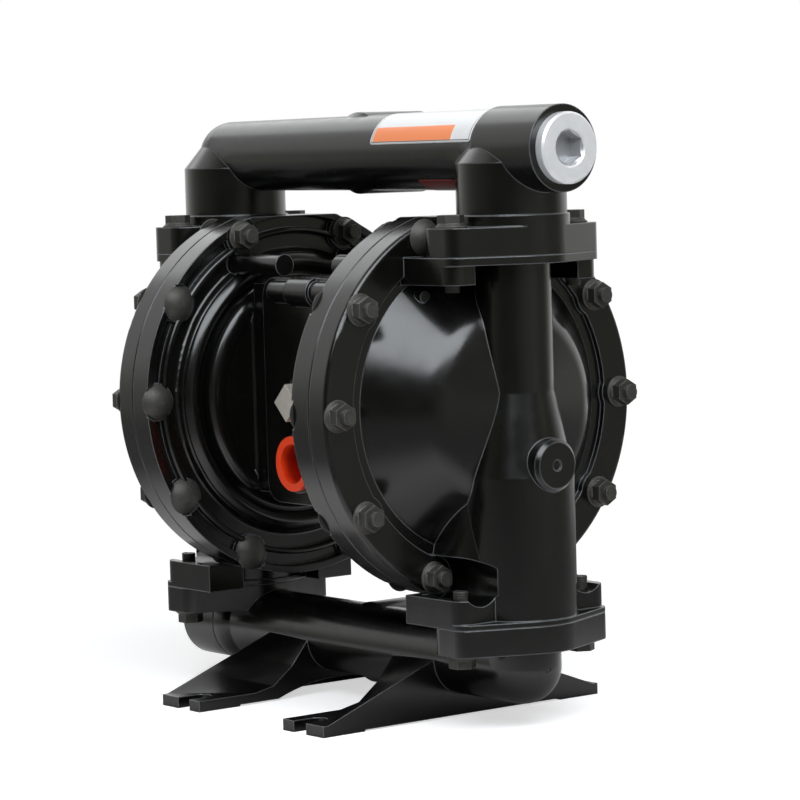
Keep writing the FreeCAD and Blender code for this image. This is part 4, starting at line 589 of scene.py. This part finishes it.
def stud_ends(node, axis):
    """The free end of each stud of a group, and the way it points. The head is the wide end, which holds
    most points, so the tip is the end that is farther from their mean."""
    form = bmesh.new()
    form.from_mesh(NODES[node].data)
    bmesh.ops.remove_doubles(form, verts=form.verts, dist=SAME_POINT)
    form.verts.index_update()
    waiting = {vertex.index: vertex for vertex in form.verts}
    ends = []
    while waiting:
        stud, reached = [], [waiting.pop(next(iter(waiting)))]
        while reached:
            vertex = reached.pop()
            stud.append(vertex.co.copy())
            for other in (link.other_vert(vertex) for link in vertex.link_edges):
                if other.index in waiting:
                    reached.append(waiting.pop(other.index))
        places = [point[axis] for point in stud]
        low, high, mean = min(places), max(places), sum(places) / len(places)
        tip = low if mean - low > high - mean else high
        rim = [point for point in stud if abs(point[axis] - tip) < SAME_FACE]
        way = Vector((0.0, 0.0, 0.0))
        way[axis] = 1.0 if tip == high else -1.0
        ends.append((sum(rim, Vector()) / len(rim), way))
    form.free()
    return ends


def thread_tree():
    """Geometry Nodes: one turn after another of a thread ridge at every stud end."""
    tree = bpy.data.node_groups.new("stud_thread", "GeometryNodeTree")
    tree.interface.new_socket("Ends", in_out="INPUT", socket_type="NodeSocketGeometry")
    for name, size in THREAD.items():
        socket = tree.interface.new_socket(name, in_out="INPUT", socket_type="NodeSocketFloat")
        socket.default_value = size
    tree.interface.new_socket("Finish", in_out="INPUT", socket_type="NodeSocketMaterial")
    tree.interface.new_socket("Threads", in_out="OUTPUT", socket_type="NodeSocketGeometry")
    given = add(tree, "NodeGroupInput").outputs
    turns = add(tree, "ShaderNodeMath", {0: given["Length"], 1: given["Pitch"]}, operation="DIVIDE")
    helix = add(tree, "GeometryNodeCurveSpiral", {
        "Resolution": 20, "Rotations": turns, "Start Radius": given["Radius"], "End Radius": given["Radius"],
        "Height": given["Length"]})
    ridge = add(tree, "GeometryNodeCurvePrimitiveCircle", {"Resolution": 4, "Radius": given["Ridge"]})
    swept = add(tree, "GeometryNodeCurveToMesh", {"Curve": helix, "Profile Curve": ridge, "Fill Caps": True})
    way = add(tree, "GeometryNodeInputNamedAttribute", {"Name": "way"}, data_type="FLOAT_VECTOR")
    facing = add(tree, "FunctionNodeAlignRotationToVector", {"Vector": way}, axis="Z")
    copies = add(tree, "GeometryNodeInstanceOnPoints", {
        "Points": given["Ends"], "Instance": swept, "Rotation": facing})
    real = add(tree, "GeometryNodeRealizeInstances", {"Geometry": copies})
    finished = add(tree, "GeometryNodeSetMaterial", {"Geometry": real, "Material": given["Finish"]})
    add(tree, "NodeGroupOutput", {"Threads": finished})
    return tree


def stud_threads():
    """Rolled threads on every stud end that shows, run back from the tip by their length."""
    ends = [end for node, axis in STUD_AXES.items() for end in stud_ends(node, axis)]
    mesh = bpy.data.meshes.new("stud_threads")
    mesh.from_pydata([spot - way * THREAD["Length"] for spot, way in ends], [], [])
    ways = mesh.attributes.new("way", "FLOAT_VECTOR", "POINT")
    ways.data.foreach_set("vector", [value for spot, way in ends for value in way])
    points = bpy.data.objects.new("stud_threads_points", mesh)
    scene.collection.objects.link(points)
    modifier = points.modifiers.new("threads", "NODES")
    modifier.node_group = thread_tree()
    sockets = {item.name: item.identifier for item in modifier.node_group.interface.items_tree
               if item.in_out == "INPUT"}
    modifier[sockets["Finish"]] = FINISHES["dark_fastener"]
    grown = points.evaluated_get(bpy.context.evaluated_depsgraph_get())
    threads = bpy.data.objects.new("stud_threads", bpy.data.meshes.new_from_object(grown))
    bpy.data.objects.remove(points)
    scene.collection.objects.link(threads)
    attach(threads, HOUSING)


stud_threads()


# Floor, background and lamps

# What a mirror shows of the studio, as azimuth from +X and brightness: along the horizon, and above it
HORIZON = ((-180, 0.95), (-158, 0.65), (-142, 0.38), (-123, 0.26), (-98, 0.18), (-68, 0.05), (-38, 0.07),
           (-23, 0.18), (-3, 0.3), (22, 0.4), (37, 0.26), (62, 0.2), (78, 0.45), (92, 1.0), (180, 0.95))
OVERHEAD = ((-180, 1.0), (-146, 0.95), (-128, 0.5), (-105, 0.15), (-80, 0.05), (-38, 0.05), (10, 0.15),
            (60, 0.2), (92, 1.0), (180, 1.0))
OVERHEAD_FROM = 0.2  # the slope of a direction at which the upper ring has taken over
WARMTH = 0.2  # the share of its blue that a dark mirrored level lacks
SHEET, TABLE = 1.0, 0.25  # mirrored levels of the sheet under the pump and the table round it
NEAR_PUMP = 0.15  # how close the pump has to be to darken the mirrored sheet, in metres
FLOOR_LIFT = 0.6  # what the camera sees added to the lit floor, so that it meets the white beyond
WHITE = colour("#ffffff")
AMBIENT = (0.12, 0.12, 0.12, 1.0)  # what the world adds to the lamps
# Distances from the pump at which one part of the floor gives way to the next, in metres
SHEET_EDGE, TABLE_EDGE, SHADOW_FADE = (0.25, 0.42), (0.9, 1.8), (0.3, 0.9)
LAMP_TARGET = Vector((0.0, 0.0, 0.18))


def seen_directly(tree):
    """1 for a ray from the camera, and 1 for that or one that a mirror or glass passes on."""
    path = add(tree, "ShaderNodeLightPath").outputs
    mirrored = add(tree, "ShaderNodeMath", {
        0: path["Is Glossy Ray"], 1: path["Is Transmission Ray"]}, operation="MAXIMUM")
    return path["Is Camera Ray"], add(tree, "ShaderNodeMath", {
        0: path["Is Camera Ray"], 1: mirrored}, operation="MAXIMUM")


def mirrored_level(tree, direction):
    """What a mirror shows along a direction: a dim warm room before the pump, a white backdrop behind
    it and a paler wall to its right."""
    parts = add(tree, "ShaderNodeSeparateXYZ", {"Vector": direction}).outputs
    turn = add(tree, "ShaderNodeMath", {0: parts["Y"], 1: parts["X"]}, operation="ARCTAN2")
    azimuth = add(tree, "ShaderNodeMapRange", {
        "Value": turn, "From Min": -math.pi, "From Max": math.pi, "To Min": 0.0, "To Max": 1.0})
    rings = []
    for stops in (HORIZON, OVERHEAD):
        ring = add(tree, "ShaderNodeValToRGB", {0: azimuth})
        elements = ring.color_ramp.elements
        while len(elements) < len(stops):
            elements.new(0.5)
        for element, (angle, brightness) in zip(elements, stops):
            element.position = (angle + 180) / 360
            element.color = (brightness, brightness, brightness * (1 - WARMTH + WARMTH * brightness), 1)
        rings.append(ring)
    high = add(tree, "ShaderNodeMapRange", {
        "Value": parts["Z"], "From Min": 0.0, "From Max": OVERHEAD_FROM, "To Min": 0.0, "To Max": 1.0})
    return add(tree, "ShaderNodeMix", {"Factor": high, "A": rings[0], "B": rings[1]}, data_type="RGBA")


def pale_floor():
    """Matt white floor that is pure white away from the pump and keeps its shadow. A mirror shows a glowing
    bright sheet under the pump with painted shade where the pump is close, a darker table and the room
    beyond."""
    made, tree = material("pale_floor")
    spot = add(tree, "ShaderNodeTexCoord").outputs["Object"]
    camera_ray, seen = seen_directly(tree)
    outward = add(tree, "ShaderNodeVectorMath", {0: spot}, operation="NORMALIZE")
    distance = add(tree, "ShaderNodeVectorMath", {0: spot}, operation="LENGTH")
    sheet, beyond, away = (add(tree, "ShaderNodeMapRange", {
        "Value": distance, "From Min": start, "From Max": end, "To Min": first, "To Max": last})
        for (start, end), first, last in ((SHEET_EDGE, SHEET, TABLE), (TABLE_EDGE, 0.0, 1.0),
                                          (SHADOW_FADE, 0.0, 1.0)))
    lift = add(tree, "ShaderNodeMath", {0: camera_ray, 1: FLOOR_LIFT}, operation="MULTIPLY")
    matt = add(tree, "ShaderNodeBsdfPrincipled", {
        "Base Color": colour("#f2f2f2"), "Roughness": 0.95, "Specular IOR Level": 0.1,
        "Emission Color": WHITE, "Emission Strength": lift})
    # Painted shade: ambient occlusion darkens the glowing sheet that mirrors show, where the pump is close.
    near_pump = add(tree, "ShaderNodeAmbientOcclusion", {"Distance": NEAR_PUMP}, samples=8)
    hidden = add(tree, "ShaderNodeMath", {0: near_pump, 1: 2.0}, operation="POWER")
    shaded = add(tree, "ShaderNodeMath", {0: hidden, 1: sheet}, operation="MULTIPLY")
    table = add(tree, "ShaderNodeCombineColor", {"Red": shaded, "Green": shaded, "Blue": shaded})
    mirrored = add(tree, "ShaderNodeMix", {
        "Factor": beyond, "A": table, "B": mirrored_level(tree, outward)}, data_type="RGBA")
    level = add(tree, "ShaderNodeMix", {"Factor": camera_ray, "A": mirrored, "B": WHITE}, data_type="RGBA")
    glow = add(tree, "ShaderNodeEmission", {"Color": level, "Strength": 1.0})
    faded = add(tree, "ShaderNodeMath", {0: away, 1: camera_ray}, operation="MULTIPLY")
    mirror_only = add(tree, "ShaderNodeMath", {0: seen, 1: camera_ray}, operation="SUBTRACT")
    glowing = add(tree, "ShaderNodeMath", {0: faded, 1: mirror_only}, operation="ADD")
    mixed = add(tree, "ShaderNodeMixShader", {0: glowing, 1: matt, 2: glow})
    add(tree, "ShaderNodeOutputMaterial", {"Surface": mixed})
    return made


def studio_floor():
    form = bmesh.new()
    bmesh.ops.create_grid(form, x_segments=1, y_segments=1, size=8.0)
    shaped_piece("floor", form, pale_floor())


def studio_world():
    """White where it is seen. Mirrored, it is a white backdrop behind the pump and a dim room before it."""
    world = bpy.data.worlds.new("studio")
    scene.world = world
    world.use_nodes = True
    tree = world.node_tree
    tree.nodes.clear()
    camera_ray, seen = seen_directly(tree)
    direction = add(tree, "ShaderNodeTexCoord").outputs["Generated"]
    lit = add(tree, "ShaderNodeMix", {
        "Factor": seen, "A": AMBIENT, "B": mirrored_level(tree, direction)}, data_type="RGBA")
    level = add(tree, "ShaderNodeMix", {"Factor": camera_ray, "A": lit, "B": WHITE}, data_type="RGBA")
    back = add(tree, "ShaderNodeBackground", {"Color": level, "Strength": 1.0})
    add(tree, "ShaderNodeOutputWorld", {"Surface": back})


def lamp(name, azimuth, elevation, distance, size, radiance, tint):
    """A soft box at an azimuth from +X, with the brightness and tint that a mirror would show."""
    turn, rise = math.radians(azimuth), math.radians(elevation)
    way = Vector((math.cos(rise) * math.cos(turn), math.cos(rise) * math.sin(turn), math.sin(rise)))
    data = bpy.data.lights.new(name, "AREA")
    data.shape = "RECTANGLE"
    data.size, data.size_y = size
    data.energy = radiance * math.pi * size[0] * size[1]
    data.color = tint
    soft_box = bpy.data.objects.new(name, data)
    scene.collection.objects.link(soft_box)
    soft_box.location = LAMP_TARGET + way * distance
    soft_box.rotation_euler = (-way).to_track_quat("-Z", "Y").to_euler()


studio_floor()
studio_world()
lamp("front_softbox", azimuth=-27, elevation=44, distance=1.7, size=(1.75, 1.05), radiance=6.0,
     tint=(0.91, 0.955, 1.0))
lamp("left_softbox", azimuth=168, elevation=40, distance=1.6, size=(1.1, 0.8), radiance=1.2,
     tint=(0.97, 0.99, 1.0))
lamp("right_softbox", azimuth=34, elevation=30, distance=1.7, size=(0.5, 0.8), radiance=0.8,
     tint=(1.0, 0.98, 0.94))


# Camera, where the photograph was taken from

# Azimuth from the front (-Y) towards +X, height above the horizon, and tilt of the frame
CAMERA_AZIMUTH, CAMERA_ELEVATION, CAMERA_ROLL = (math.radians(v) for v in (52.251, 4.383, -1.597))
CAMERA_TARGET = Vector((22.87, 0.0, 177.2)) * MM
CAMERA_DISTANCE = 1903.24 * MM
LENS, SENSOR = 148.8, 36.0


def photograph_camera():
    level = math.cos(CAMERA_ELEVATION)
    back_way = Vector((math.sin(CAMERA_AZIMUTH) * level, -math.cos(CAMERA_AZIMUTH) * level,
                       math.sin(CAMERA_ELEVATION)))
    right = Vector((math.cos(CAMERA_AZIMUTH), math.sin(CAMERA_AZIMUTH), 0.0))
    up = back_way.cross(right)
    across = right * math.cos(CAMERA_ROLL) + up * math.sin(CAMERA_ROLL)
    upward = up * math.cos(CAMERA_ROLL) - right * math.sin(CAMERA_ROLL)
    data = bpy.data.cameras.new("camera")
    data.lens, data.sensor_width = LENS, SENSOR
    camera = bpy.data.objects.new("camera", data)
    scene.collection.objects.link(camera)
    turn = Matrix((across, upward, back_way)).transposed().to_4x4()
    camera.matrix_world = Matrix.Translation(CAMERA_TARGET + back_way * CAMERA_DISTANCE) @ turn
    scene.camera = camera


photograph_camera()
scene.view_settings.view_transform = "Standard"
